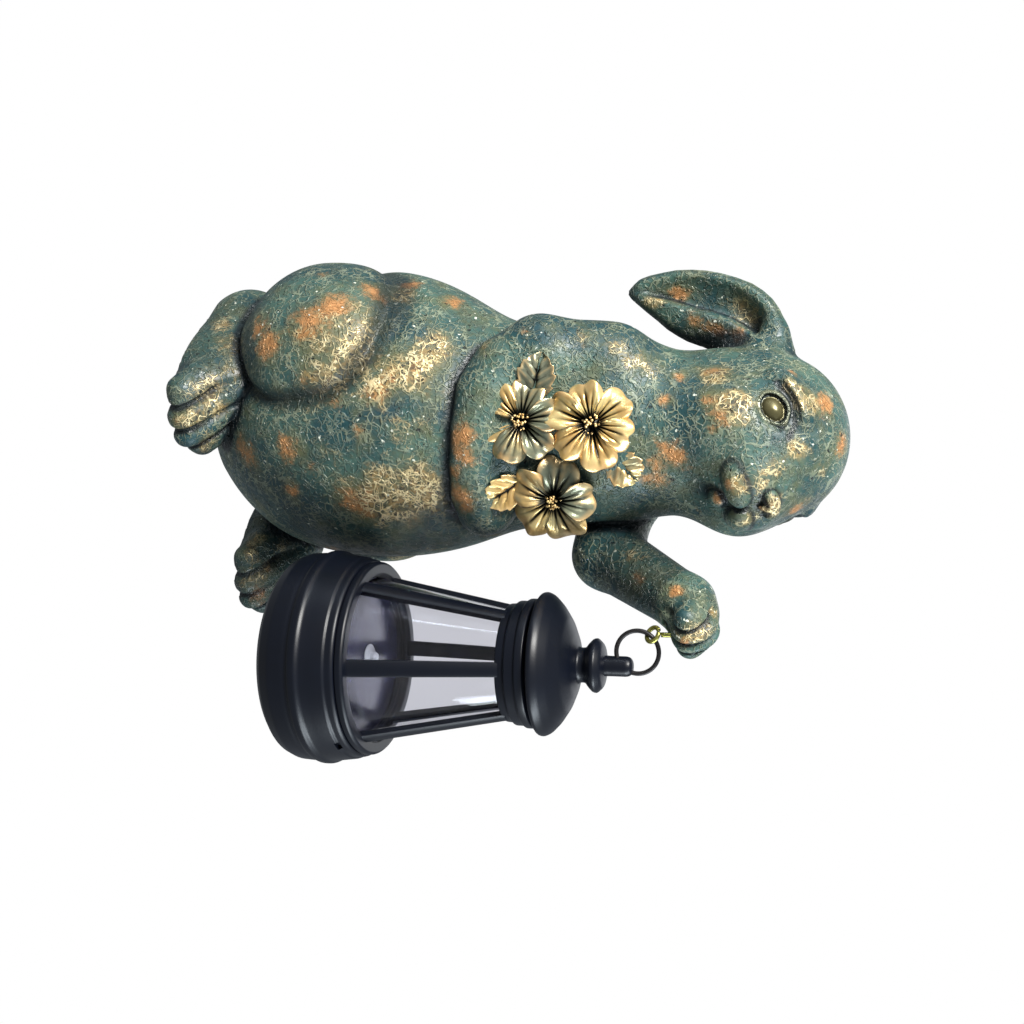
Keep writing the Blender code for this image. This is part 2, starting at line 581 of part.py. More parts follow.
bpy.ops.mesh.primitive_cylinder_add(vertices=16, radius=1.5 * MM, depth=16 * MM)
bore = bpy.context.object
bore.location = Vector((eye_c.x, eye_c.y, SHANK_TOP + 0.6 - 8.0)) * MM
apply_all(bore)
settle(bore, "hook_hole", where=CUTTERS)
boolean(body, bore)

# ---------------------------------------------------------------- the lantern
cx, cy = AXIS
roof = lathe("lantern_roof", BLACK, [
    (0, 197), (5.0, 196.8), (9.5, 195.8), (11.9, 193.2), (11.6, 191.6), (9.6, 189.6), (7.6, 188.2), (7.6, 185.2), (13.5, 183.6),
    (20.5, 180.6), (26.5, 176.6), (30.4, 172.9), (31.5, 170.6), (31.2, 168.9), (27.0, 167.6), (27.0, 169.2), (22.5, 174.5),
    (14.0, 179.0), (0, 181)], (cx, cy, 0), 28)
stud = lathe("stud", None, [(0, 209), (2.4, 208.7), (3.8, 207.8), (4.4, 206.2), (4.4, 199), (4.6, 195), (0, 195)], (cx, cy, 0), 16, CUTTERS)
boolean(roof, stud, "UNION")
channel = torus("ring_channel", RING_C, (*TO_VIEW, 0), RING_R, WIRE_R + 0.45, 24, 8, None, CUTTERS)
boolean(roof, channel)

cage = lathe("lantern_cage", BLACK_CAGE, [
    (26.6, 167.2), (28.4, 166.4), (28.4, 163.2), (27.4, 162.4), (27.4, 158.4), (26.2, 157.4), (26.0, 154.0), (23.9, 153.4), (23.9, 167.2)],
    (cx, cy, 0), 30)
foot_ring = lathe("foot_ring", None, [
    (42.8, 92.2), (43.8, 91.2), (43.8, 88.6), (36.6, 88.6), (36.6, 90.4), (38.4, 92.2)], (cx, cy, 0), 30, CUTTERS)
boolean(cage, foot_ring, "UNION")
top_c, foot_c = Vector((24.75, 0, 155.5)), Vector((38.4, 0, 90.2))
for i in range(6):
    t = math.radians(225 + 60 * i)
    bpy.ops.mesh.primitive_cube_add(size=1.0)
    bar = bpy.context.object
    bm = bmesh.new()
    bm.from_mesh(bar.data)
    for w in bm.verts:
        end = top_c if w.co.z > 0 else foot_c
        wide = (3.1 if w.co.z > 0 else 3.75) * (0.72 if w.co.x > 0 else 1.0)
        w.co = (Vector((end.x + (1.55 if w.co.x > 0 else -1.3), math.copysign(wide, w.co.y), end.z))) * MM
    bm.to_mesh(bar.data)
    bm.free()
    bar.rotation_euler = (0, 0, t)
    bar.location = (cx * MM, cy * MM, 0)
    apply_all(bar)
    settle(bar, f"bar_{i + 1}", where=CUTTERS)
    boolean(cage, bar, "UNION")

glass = lathe("lantern_glass", GLASS, [(22.6, 157.0), (35.9, 91.2), (35.9, 86.4), (34.4, 86.4), (34.4, 90.8), (21.1, 157.0)], (cx, cy, 0), 30)

base = lathe("lantern_base", BLACK_BASE, [
    (0, 53.0), (38.0, 53.0), (42.6, 57.5), (43.4, 66.0), (43.4, 80.0), (35.2, 80.0), (35.2, 83.4), (38.4, 83.4), (38.4, 88.3),
    (44.2, 88.3), (45.0, 87.2), (45.2, 84.6), (46.0, 83.8), (47.0, 77.0), (47.6, 73.6), (48.8, 72.2), (48.8, 69.2), (47.4, 67.6),
    (47.7, 65.4), (47.4, 59.0), (45.4, 54.2), (41.5, 51.0), (38.0, 50.2), (0, 50.2)], (cx, cy, 0), 30)
panel = lathe("solar_panel", CELL, [(0, 86.0), (37.4, 86.0), (38.0, 85.4), (38.0, 83.7), (0, 83.7)], (cx, cy, 0), 30)
lamp = lathe("led_lamp", LED, [(0, 91.0), (1.6, 90.6), (2.5, 89.4), (2.6, 87.6), (5.2, 87.4), (6.0, 86.9), (6.0, 86.3), (0, 86.3)], (cx, cy, 0), 16)

# the origin goes to the middle of the whole object's footprint, on the floor
corners = np.array([w.co[:] for ob in PARTS.objects for w in ob.data.vertices])
low, high = corners.min(0), corners.max(0)
shift = Matrix.Translation((-(low[0] + high[0]) / 2, -(low[1] + high[1]) / 2, -low[2]))
print("shift in mm", [round(c * 1000, 3) for c in shift.translation])
for ob in PARTS.objects:
    ob.data.transform(shift)

# every solid faces outward and is closed
for ob in list(PARTS.objects):
    bm = bmesh.new()
    bm.from_mesh(ob.data)
    bmesh.ops.remove_doubles(bm, verts=bm.verts, dist=0.00001)
    bmesh.ops.dissolve_degenerate(bm, edges=bm.edges, dist=0.00001)
    bmesh.ops.triangulate(bm, faces=bm.faces)
    bmesh.ops.recalc_face_normals(bm, faces=bm.faces)
    bm.to_mesh(ob.data)
    bm.free()
    print(ob.name, len(ob.data.polygons), "triangles")
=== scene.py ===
"""Looks of the solar rabbit garden statue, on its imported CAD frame. Lengths in the helpers are millimetres."""
import math

import bmesh
import bpy
import numpy as np
from mathutils import Matrix, Vector


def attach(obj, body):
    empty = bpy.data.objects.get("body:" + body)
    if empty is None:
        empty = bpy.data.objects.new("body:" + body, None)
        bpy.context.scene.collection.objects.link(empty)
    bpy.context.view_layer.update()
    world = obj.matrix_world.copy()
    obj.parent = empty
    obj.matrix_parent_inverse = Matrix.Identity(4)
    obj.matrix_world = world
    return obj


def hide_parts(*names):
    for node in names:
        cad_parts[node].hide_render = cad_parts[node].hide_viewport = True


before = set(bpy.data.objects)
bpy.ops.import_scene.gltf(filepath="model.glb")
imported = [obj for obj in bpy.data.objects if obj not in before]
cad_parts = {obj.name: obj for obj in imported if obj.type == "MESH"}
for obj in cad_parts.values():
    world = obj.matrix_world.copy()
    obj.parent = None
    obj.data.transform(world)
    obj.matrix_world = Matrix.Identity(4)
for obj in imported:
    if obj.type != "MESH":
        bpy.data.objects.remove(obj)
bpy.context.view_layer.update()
MM = 0.001
F = np.float32
# the rabbit's own upright axis lies this far from the row's origin
OFF = np.array([-8.975, 41.269, 0.0])


# ---------------------------------------------------------------- form of the casting
def euler(x=0.0, y=0.0, z=0.0):
    x, y, z = np.radians((x, y, z))
    cx, sx, cy, sy, cz, sz = np.cos(x), np.sin(x), np.cos(y), np.sin(y), np.cos(z), np.sin(z)
    return (np.array([[cz, -sz, 0], [sz, cz, 0], [0, 0, 1]])
            @ np.array([[cy, 0, sy], [0, 1, 0], [-sy, 0, cy]])
            @ np.array([[1, 0, 0], [0, cx, -sx], [0, sx, cx]]))


def ball(p, centre, radii, turn=None):
    q = p - np.asarray(centre, F)
    if turn is not None:
        q = q @ np.asarray(turn, F)
    r = np.asarray(radii, F)
    a = q / r
    k0 = np.sqrt(np.einsum("ij,ij->i", a, a))
    b = a / r
    k1 = np.sqrt(np.einsum("ij,ij->i", b, b))
    return k0 * (k0 - 1) / np.maximum(k1, 1e-9)


def limb(p, a, b, ra, rb):
    a, b = np.asarray(a, F), np.asarray(b, F)
    ab = b - a
    q = p - a
    h = np.clip((q @ ab) / float(ab @ ab), 0, 1)
    q = q - h[:, None] * ab
    return np.sqrt(np.einsum("ij,ij->i", q, q)) - (ra + (rb - ra) * h)


def blend(a, b, k):
    h = np.maximum(k - np.abs(a - b), 0) / k
    return np.minimum(a, b) - h * h * k * 0.25


def carve(a, b, k):
    return -blend(-a, b, k)


def groove(d, p, points, reach, depth):
    """A crease along points, pressed in by its depth."""
    g = np.full(len(p), 99.0, F)
    for a, b in zip(points[:-1], points[1:]):
        g = np.minimum(g, limb(p, a, b, 0, 0))
    return d + depth * np.exp(-((g / reach) ** 2))


TRUNK = np.array([
    (-8, 20, -3), (0, 34, -3), (14, 48, -3), (28, 58, -3), (42, 64, -2), (56, 68, -1), (75, 70.5, 0.5), (91, 70, 0),
    (107, 66.5, -2), (122, 61, -5), (135, 54.5, -8), (147, 49, -10), (162, 46.5, -11), (177, 46, -11), (191, 46.5, -11),
    (201, 45.2, -11.5), (210, 41.2, -13.5), (217, 38.6, -15.5), (224, 37.0, -17.4), (236, 36.4, -18.2), (248, 35, -18)], float)
LEVEL = np.arange(-20, 275.0)


def eased(column):
    k = np.exp(-0.5 * (np.arange(-18, 19) / 6.0) ** 2)
    return np.convolve(np.interp(np.arange(-38, 293.0), TRUNK[:, 0], TRUNK[:, column]), k / k.sum(), "valid")


TRUNK_R, TRUNK_Y = eased(1), eased(2)
HEAD = np.array([1.8, -22.0, 255.5])
HEAD_TURN = euler(x=-11, z=-4)


def on_head(*q):
    return HEAD + HEAD_TURN @ np.array(q, float)


EYE = np.array([27.2, -17.0, 8.3])
EYE_AT = np.array([-30.5, -19.6, 8.8])
# the ear is a leaf laid in an upright plane that faces out and forward: across, up
EAR_EDGE = [(-21.7, 273.1), (-25.3, 274.4), (-29.9, 273.3), (-35.1, 271.5), (-40.0, 269.7), (-44.3, 268.0), (-49.4, 264.6),
            (-53.2, 260.6), (-56.7, 255.7), (-59.9, 248.6), (-62.3, 241.6), (-63.9, 234.9), (-64.7, 228.3), (-64.9, 221.0),
            (-64.1, 214.8), (-63.1, 208.7), (-61.5, 203.5), (-58.9, 199.2), (-56.9, 197.0), (-55.2, 196.8), (-52.4, 199.0),
            (-49.2, 203.0), (-45.8, 206.9), (-41.8, 211.7), (-37.5, 216.3), (-33.9, 221.3), (-30.9, 225.7), (-28.8, 230.6),
            (-27.2, 236.1), (-24.7, 242.5), (-21.6, 251.6), (-20.2, 265.1)]
EAR_FOLD = [(-22.0, 267.5), (-24.8, 264.2), (-28.1, 259.7), (-32.9, 255.2), (-38.4, 246.2), (-42.0, 237.1), (-45.3, 226.5),
            (-49.1, 216.2), (-52.3, 207.3), (-54.6, 199.7)]


def to_line(x, y, points, closed=False):
    """Distance to a line of points, and a sign: inside for a closed one, else the side it is on."""
    best = np.full(len(x), 1e9, F)
    sign = np.ones(len(x), F)
    n = len(points)
    for i in range(n if closed else n - 1):
        (ax, ay), (bx, by) = points[i], points[(i + 1) % n]
        ex, ey = bx - ax, by - ay
        wx, wy = x - F(ax), y - F(ay)
        h = np.clip((wx * ex + wy * ey) / (ex * ex + ey * ey), 0, 1)
        d = (wx - h * ex) ** 2 + (wy - h * ey) ** 2
        if closed:
            cross = ((y >= ay) != (y >= by)) & ((ex * wy > ey * wx) == (by > ay))
            sign[cross] *= -1
        else:
            sign = np.where(d < best, np.where(ex * wy > ey * wx, F(1), F(-1)), sign)
        best = np.minimum(best, d)
    return np.sqrt(best), sign


def ramp(x, a, b):
    t = np.clip((x - a) / (b - a), 0, 1)
    return t * t * (3 - 2 * t)


def ear(p, side):
    c = np.array((31.0 * side, 31.0, 233.0), F)
    far = np.sqrt(((p - c) ** 2).sum(1))
    out = far - F(48)
    i = np.flatnonzero(far < 62)
    if len(i) == 0:
        return out
    x, y, z = -side * p[i, 0], p[i, 1], p[i, 2]
    r, n = (x - y) * F(0.7071), F(2) - (x + y) * F(0.7071)
    e, sg = to_line(r, z, EAR_EDGE, True)
    edge = e * sg
    f, left = to_line(r, z, EAR_FOLD)
    f = f * left
    top = ramp(z, 240, 262)
    rim = (1.4 + 1.8 * top) * np.exp(-((e - 3.4 - 1.6 * top) / (3.0 + 1.4 * top)) ** 2)
    well = (-4.2 * ramp(e, 1.5, 15.0) - 1.2 * top * ramp(e, 6, 11)) * ramp(z, 198, 216) + rim - 7 * ramp(f, 0, 4)
    lobe = np.where(f > 0, 3.4 - 0.042 * f * f, 3.4 + (2.2 + 0.5 * top) * f)
    lobe = np.maximum(lobe - 1.8 * (1 - ramp(z, 199, 222)), -4.5)
    front = -blend(-well, -lobe, 1.4) + F(3.0) - 4.5 * ramp(z, 206, 196)
    back = F(-6.0) + 0.006 * (r + 48) ** 2 + 3.0 * ramp(z, 215, 198)
    d = -blend(-(n - front) * F(0.72), -(back - n) * F(0.9), 1.5)
    d = -blend(-d, -edge, 3.2)
    out[i] = np.minimum(d, F(20))
    return out


def frame_at(n, x):
    n = np.array(n) / np.linalg.norm(n)
    x = np.array(x) - n * (np.array(x) @ n)
    x /= np.linalg.norm(x)
    return np.stack([x, np.cross(n, x), n], 1)


BROW_LINE = np.array([(-10, 6.9, 0.9), (1, 7.7, 0.9), (9.5, 5.2, 0.4), (13.5, 0, -0.9)])
EYE_TURN = frame_at((-0.82, -0.52, 0.24), (0.62, -0.72, 0.33))


def head(p):
    out = np.sqrt(((p - HEAD.astype(F)) ** 2).sum(1)) - F(60)
    i = np.flatnonzero(out < 25)
    if len(i) == 0:
        return out
    p = p[i]

    # records a crease or outline of the head for painted shade along it
    def shade_crease(a, b, reach, strength=1.0):
        if CREASE_SHADE:
            CREASE_SHADE.append(np.zeros(len(out), F))
            CREASE_SHADE[-1][i] = strength * np.exp(-((a - b) / reach) ** 2) * np.exp(-(np.minimum(a, b) / 1.6) ** 2)

    q = ((p - HEAD.astype(F)) @ HEAD_TURN.astype(F)).astype(F)
    m = q.copy()
    m[:, 0] = -np.abs(m[:, 0])
    h = ball(q, (0, 2, 11), (35.5, 37.5, 32.5))
    h = blend(h, ball(m, (-17.2, -11, -7.5), (20.5, 22, 20)), 12)
    h = blend(h, ball(q, (0, -23, -1), (20, 20, 19)), 12)
    h = blend(h, ball(p, (-12, -3, 248), (18.5, 18.5, 20)), 12)
    # brow and eye
    e = ((m - EYE_AT.astype(F)) @ EYE_TURN.astype(F)).astype(F)
    h = blend(h, ball(e, (-3.5, 11.0, -2.6), (11, 4.6, 3.4)), 8)
    h = blend(h, limb(e, (-7, 11.0, -1.0), (7, 9.8, -1.2), 2.6, 2.2), 6)
    h = carve(h, chain(e, BROW_LINE + (0, 0, 1.6), (1.6, 2.1, 2.0, 1.2)), 2.0)
    h = carve(h, ball(e, (0.6, 0.2, 3.6), (9.6, 7.6, 4.6)), 3)
    h = carve(h, limb(e, (6, -0.6, 1.2), (15.0, 0.4, 1.9), 2.0, 1.2), 2)
    k = np.sqrt((e[:, 0] / 7.6) ** 2 + (e[:, 1] / (6.1 * (1 - 0.30 * np.clip(e[:, 0] / 7.6, 0, 1) ** 2))) ** 2)
    lid = np.sqrt(((k - 0.98) * 6.8) ** 2 + (e[:, 2] + 0.1) ** 2) - (1.25 + 0.40 * np.clip(e[:, 1] / 6, -1, 1))
    h = blend(h, lid, 0.9)
    h = carve(h, np.sqrt(((k - 0.79) * 6.8) ** 2 + (e[:, 2] - 0.3) ** 2) - F(0.75), 0.4)
    shade_crease(h, ball(e, (-0.2, -0.3, -1.8), (5.6, 4.5, 4.2)), 0.6, 1.1)
    shade_crease(chain(e, BROW_LINE, (0, 0, 0, 0)), 0, 2.0, 0.95)
    shade_crease(limb(e, (8, -0.6, 0.4), (14.0, 0.2, 1.2), 0, 0), 0, 2.6, 0.6)
    h = np.minimum(h, ball(e, (-0.2, -0.3, -1.8), (5.6, 4.5, 4.2)))
    # muzzle, nose and chin
    pad = frame_at((-0.65, -0.75, 0.05), (-0.75, 0.65, 0.0))
    h = blend(h, ball(m, (-7.5, -36.0, -4.5), (8.0, 6.5, 7.0)), 8)
    k = ball(m, (-9.9, -38.0, -9.3), (11.6, 6.6, 6.1), pad)
    shade_crease(h, k, 1.2, 0.75)
    h = blend(h, k, 1.2)
    h = carve(h, limb(q, (0, -46.9, -2.6), (0, -43.8, -12.5), 1.3, 1.1), 1.0)
    k = ball(q, (0, -35.4, -17.6), (4.1, 4.2, 3.8))
    shade_crease(h, k, 1.3, 0.8)
    h = blend(h, k, 1.0)
    shade_crease(limb(q, (0, -46.5, -2.6), (0, -42.6, -13.0), 0.3, 0.3), 0, 1.1, 0.85)
    n = blend(ball(m, (-3.8, -43.8, 2.6), (3.6, 3.5, 3.3)), ball(q, (0, -45.2, 3.6), (4.6, 3.4, 3.2)), 2.5)
    n = blend(n, limb(q, (0, -46.2, 1.5), (0, -45.0, -1.8), 1.7, 1.1), 1.0)
    shade_crease(h, n, 0.8, 0.8)
    h = blend(h, n, 0.6)
    h = carve(h, limb(m, (-2.3, -48.2, 0.4), (-5.2, -45.4, -0.9), 1.2, 1.05), 0.4)
    shade_crease(limb(m, (-2.3, -48.2, 0.4), (-5.2, -45.4, -0.9), 0.6, 0.6), 0, 1.3, 1.0)
    out[i] = h
    return out


def thigh(p, centre, radii, up):
    """An egg: rounder below its middle than above."""
    q = p - np.asarray(centre, F)
    q[:, 2] = np.where(q[:, 2] > 0, q[:, 2] * F(radii[2] / up), q[:, 2])
    return ball(q, (0, 0, 0), radii)


# while this list holds anything, the form records its creases here, for painted shade along them
CREASE_SHADE = []


def seam(a, b, reach, depth):
    """Two forms that meet in a crease; while crease shade is being gathered, the crease is also recorded for painted
    shade along it.
    """
    if CREASE_SHADE:
        CREASE_SHADE.append(np.exp(-((a - b) / 3.4) ** 2) * np.exp(-(np.minimum(a, b) / 3.0) ** 2))
    return np.minimum(a, b) + depth * np.exp(-((a - b) / reach) ** 2)


def foot(p, x, y, splay, instep=5):
    turn = euler(z=splay).astype(F)
    q = ((p - np.array((x, y, 8.0), F)) @ turn).astype(F)
    g = ball(q, (0, 2, 0), (20.5, 44, 21.5))
    g = blend(g, ball(q, (0, 32, 4), (20, 20, 20)), 9)
    g = blend(g, ball(q, (-1, -8, instep), (17, 23, 23.5)), 8)
    for tx, ty, tr in ((-14.5, -31, 6.8), (-5.6, -37.5, 7.4), (4.8, -39.5, 7.6), (14, -34, 7.0)):
        g = blend(g, limb(q, (tx, ty + 7, 2.5), (tx, ty - 1, -2.0), tr, tr * 0.95), 6)
    plan = q.copy()
    plan[:, 2] = 0
    fade = ramp(q[:, 1], -14, -27)
    for line in TOE_LINES:
        g = groove(g, plan, line, 1.7, 2.2 * fade)
    return g


TOE_LINES = [[(-8.4, -14, 0), (-10.4, -26, 0), (-10.4, -60, 0)], [(-0.2, -16, 0), (-0.5, -28, 0), (-0.5, -60, 0)],
             [(8.2, -15, 0), (9.6, -27, 0), (9.8, -60, 0)]]
HIP_LINE = [(-65.4, 6.8, 107.5), (-65.9, -2.6, 107.8), (-64.9, -15.4, 106.7), (-62.8, -25.6, 102.9), (-60.0, -33.5, 98.0)]
FOLDED_ARM = [(-45.7, -13.7, 165.4), (-44.5, -23.5, 152.5), (-38.5, -34.5, 144.6), (-28.5, -44.0, 141.0), (-17.0, -51.0, 139.0),
              (-5.0, -56.0, 138.6), (5.5, -57.5, 139.8)]
FINGERS = ((27.2, -103.5), (32.6, -105.8), (39.0, -106.3), (45.0, -104.5))
FINGER_GAPS = (29.6, 35.8, 42.1)


def chain(p, points, radii):
    d = np.full(len(p), 1e3, F)
    for i in range(len(points) - 1):
        d = np.minimum(d, limb(p, points[i], points[i + 1], radii[i], radii[i + 1]))
    return d


def paw(p, a):
    """The raised paw, bent down, with its fingers; a is the arm it ends."""
    near = np.flatnonzero(np.abs(p - np.array((36, -102, 233), F)).max(1) < 30)
    if len(near) == 0:
        return a
    h, q = a[near], p[near]
    for x, y in FINGERS:
        h = blend(h, limb(q, (0.4 * x + 22, y + 13, 237.0), (x, y, 232.6), 5.6, 4.9), 4)
    fade = ramp(q[:, 1], -91, -99) * ramp(q[:, 2], 219, 224)
    for x in FINGER_GAPS:
        g = q[:, 0] - x - (36 - x) * 0.30 * ramp(q[:, 1], -101, -88)
        h = h + 2.1 * fade * np.exp(-((g / 1.35) ** 2))
    a = a.copy()
    a[near] = h
    return a


def rabbit(p):
    z = p[:, 2]
    radius, mid = np.interp(z, LEVEL, TRUNK_R).astype(F), np.interp(z, LEVEL, TRUNK_Y).astype(F)
    d = np.sqrt(p[:, 0] ** 2 + (p[:, 1] - mid) ** 2) - radius
    d = carve(d * 0.94, 244 - z, 20)
    d = blend(d, limb(p, (-37.5, -10.6, 197.1), (-45.0, -14.4, 168.1), 15.5, 16), 14)
    d = blend(d, head(p), 13)
    m = p * np.array([1, 1, 1], F)
    m[:, 0] = -np.abs(m[:, 0] + 1) - 1
    d = groove(d, m, HIP_LINE, 3.4, 1.2)
    t = blend(thigh(m, (-45, -1, 58), (35, 46.5, 38), 55), ball(m, (-47, -15, 73), (29, 29, 25)), 9)
    d = seam(d, t, 2.6, 1.9)
    f = foot(p, -43.0, -14.5, 0.0)
    w = ramp(p[:, 0], -56, -68)
    d = (1 - w) * seam(d, f, 2.0, 0.8) + w * blend(d, f, 12)
    if CREASE_SHADE:
        CREASE_SHADE[-1] *= 1 - 0.85 * w
    f = foot(p, 56.5, -28.0, -2.0, 2)
    w = ramp(p[:, 0], 66, 78)
    d = (1 - w) * seam(d, f, 2.0, 0.8) + w * blend(d, f, 12)
    if CREASE_SHADE:
        CREASE_SHADE[-1] *= 1 - 0.85 * w
    a = chain(p, FOLDED_ARM, (15.5, 15.3, 15.2, 15, 15, 14.8, 14.2))
    a = blend(a, limb(p, (-33.7, -20.1, 171.7), (-16.9, -39.7, 158.4), 19, 17), 12)
    w = ramp(z, 142, 160)
    d = (1 - w) * seam(d, a, 2.2, 1.2) + w * blend(d, a, 7)
    if CREASE_SHADE:
        CREASE_SHADE[-1] *= 1 - w
    a = limb(p, (37.4, -26.1, 191.5), (44.8, -51.8, 190.0), 18.0, 16)
    a = blend(a, limb(p, (44.8, -51.8, 190.0), (37.4, -86.8, 229.8), 15.8, 12.6), 5)
    a = blend(a, limb(p, (37.4, -86.8, 229.8), (36.5, -100.6, 235.0), 12.6, 10.8), 4)
    a = paw(p, a)
    w = ramp(p[:, 1], -40, -26)
    d = (1 - w) * seam(d, a, 2.0, 0.8) + w * blend(d, a, 14)
    if CREASE_SHADE:
        CREASE_SHADE[-1] *= 1 - w
    for s in (-1, 1):
        e = blend(ear(p, s), limb(p, (11 * s, 7, 260), (24 * s, 22.5, 264.5), 11, 5.5), 6)
        d = blend(d, e, 9)
    d = blend(d, ball(p, (0, 64, 26), (17, 15, 16)), 4)
    return np.maximum(d, -z)


# ---------------------------------------------------------------- surface of a form, as quads
def surface(f, low, high, h, coarse=4):
    low = np.asarray(low, float)
    n = np.ceil((np.asarray(high, float) - low) / (h * coarse)).astype(int)
    axes = [low[i] + (np.arange(n[i]) + 0.5) * h * coarse for i in range(3)]
    c = np.stack(np.meshgrid(*axes, indexing="ij"), -1).reshape(-1, 3).astype(F)
    near = np.abs(np.concatenate([f(c[s:s + 200000]) for s in range(0, len(c), 200000)])) < h * coarse * 1.9 * 1.35
    idx = np.argwhere(near.reshape(n))
    size = n * coarse + 1
    grid = np.full(size, np.nan, F)
    off = np.stack(np.meshgrid(*[np.arange(coarse + 1)] * 3, indexing="ij"), -1).reshape(-1, 3)
    flat = np.unique(np.ravel_multi_index((idx[:, None, :] * coarse + off[None]).reshape(-1, 3).T, size))
    p = (low + np.stack(np.unravel_index(flat, size), 1) * h).astype(F)
    grid.ravel()[flat] = np.concatenate([f(p[s:s + 200000]) for s in range(0, len(p), 200000)])
    cells = size - 1
    s = np.stack([grid[a:size[0] - 1 + a, b:size[1] - 1 + b, e:size[2] - 1 + e].ravel() for a in (0, 1) for b in (0, 1) for e in (0, 1)], 1)
    neg = (s < 0).sum(1)
    cell = np.flatnonzero(~np.isnan(s).any(1) & (neg > 0) & (neg < 8))
    s = s[cell]
    ci = np.stack(np.unravel_index(cell, cells), 1)
    corner = np.array([(a, b, e) for a in (0, 1) for b in (0, 1) for e in (0, 1)], float)
    total, count = np.zeros((len(cell), 3)), np.zeros(len(cell))
    for i in range(8):
        for j in range(i + 1, 8):
            if np.abs(corner[i] - corner[j]).sum() == 1:
                a, b = s[:, i], s[:, j]
                m = (a < 0) != (b < 0)
                t = np.where(m, a / np.where(m, a - b, 1), 0)
                total[m] += (corner[i] + t[:, None] * (corner[j] - corner[i]))[m]
                count[m] += 1
    verts = low + (ci + total / count[:, None]) * h
    vid = np.full(int(np.prod(cells)), -1, np.int64)
    vid[cell] = np.arange(len(cell))
    vid = vid.reshape(cells)
    quads = []
    for ax in range(3):
        b, e = (ax + 1) % 3, (ax + 2) % 3
        s1, s2 = [slice(None)] * 3, [slice(None)] * 3
        s1[ax], s2[ax] = slice(0, size[ax] - 1), slice(1, size[ax])
        A, B = grid[tuple(s1)], grid[tuple(s2)]
        w = np.argwhere(((A < 0) != (B < 0)) & ~np.isnan(A) & ~np.isnan(B))
        w = w[(w[:, b] > 0) & (w[:, e] > 0) & (w[:, b] < cells[b]) & (w[:, e] < cells[e])]

        def at(db, de):
            q = w.copy()
            q[:, b] -= db
            q[:, e] -= de
            return vid[q[:, 0], q[:, 1], q[:, 2]]

        q = np.stack([at(1, 1), at(0, 1), at(0, 0), at(1, 0)], 1)
        flip = A[w[:, 0], w[:, 1], w[:, 2]] >= 0
        q[flip] = q[flip][:, ::-1]
        quads.append(q[(q >= 0).all(1)])
    return verts, np.concatenate(quads)


def slope(f, v, e=0.15):
    return np.stack([f(v + np.eye(3, dtype=F)[k] * F(e)) - f(v - np.eye(3, dtype=F)[k] * F(e)) for k in range(3)], 1) / F(2 * e)


# ---------------------------------------------------------------- pieces
def piece(name, verts, faces, mat, slot=None, nodes=(), smooth=True, values=None):
    """A mesh piece from millimetres in the rabbit's frame; values are numbers per vertex for its material."""
    me = bpy.data.meshes.new(name)
    me.from_pydata(((np.asarray(verts, float) + OFF) * MM).tolist(), [], np.asarray(faces).tolist() if isinstance(faces, np.ndarray) else faces)
    me.update()
    if smooth:
        me.polygons.foreach_set("use_smooth", np.ones(len(me.polygons), bool))
    for key, val in (values or {}).items():
        me.attributes.new(key, "FLOAT", "POINT").data.foreach_set("value", np.asarray(val, F))
    ob = bpy.data.objects.new(name, me)
    bpy.context.scene.collection.objects.link(ob)
    me.materials.append(mat)
    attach(ob, "root")
    if nodes:
        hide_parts(*nodes)
    return ob


def turned(profile, centre=(0, 0), steps=120):
    """Vertices and faces of a profile of (radius, height) turned about an upright line. It closes on itself unless it ends on the axis."""
    verts, faces, rows = [], [], []
    for r, z in profile:
        if r < 1e-6:
            rows.append([len(verts)])
            verts.append((centre[0], centre[1], z))
        else:
            rows.append(list(range(len(verts), len(verts) + steps)))
            t = np.arange(steps) * 2 * np.pi / steps
            verts += np.stack([centre[0] + r * np.cos(t), centre[1] + r * np.sin(t), np.full(steps, z)], 1).tolist()
    n = len(rows)
    for i in range(n if profile[0][0] > 1e-6 else n - 1):
        a, b = rows[i], rows[(i + 1) % n]
        for k in range(steps):
            k2 = (k + 1) % steps
            if len(a) == 1:
                faces.append([a[0], b[k], b[k2]])
            elif len(b) == 1:
                faces.append([a[k], b[0], a[k2]])
            else:
                faces.append([a[k], b[k], b[k2], a[k2]])
    return verts, faces


def rounded(profile, r=0.5, n=3, closed=False):
    """The profile with its corners rounded."""
    p = [np.array(q, float) for q in profile]
    out = []
    m = len(p)
    for i in range(m):
        if not closed and i in (0, m - 1):
            out.append(tuple(p[i]))
            continue
        a, b, c = p[i - 1], p[i], p[(i + 1) % m]
        la, lc = np.linalg.norm(a - b), np.linalg.norm(c - b)
        t = min(r, la * 0.45, lc * 0.45)
        s, e = b + (a - b) / la * t, b + (c - b) / lc * t
        for k in range(n + 1):
            w = k / n
            out.append(tuple((1 - w) ** 2 * s + 2 * w * (1 - w) * b + w * w * e))
    return out


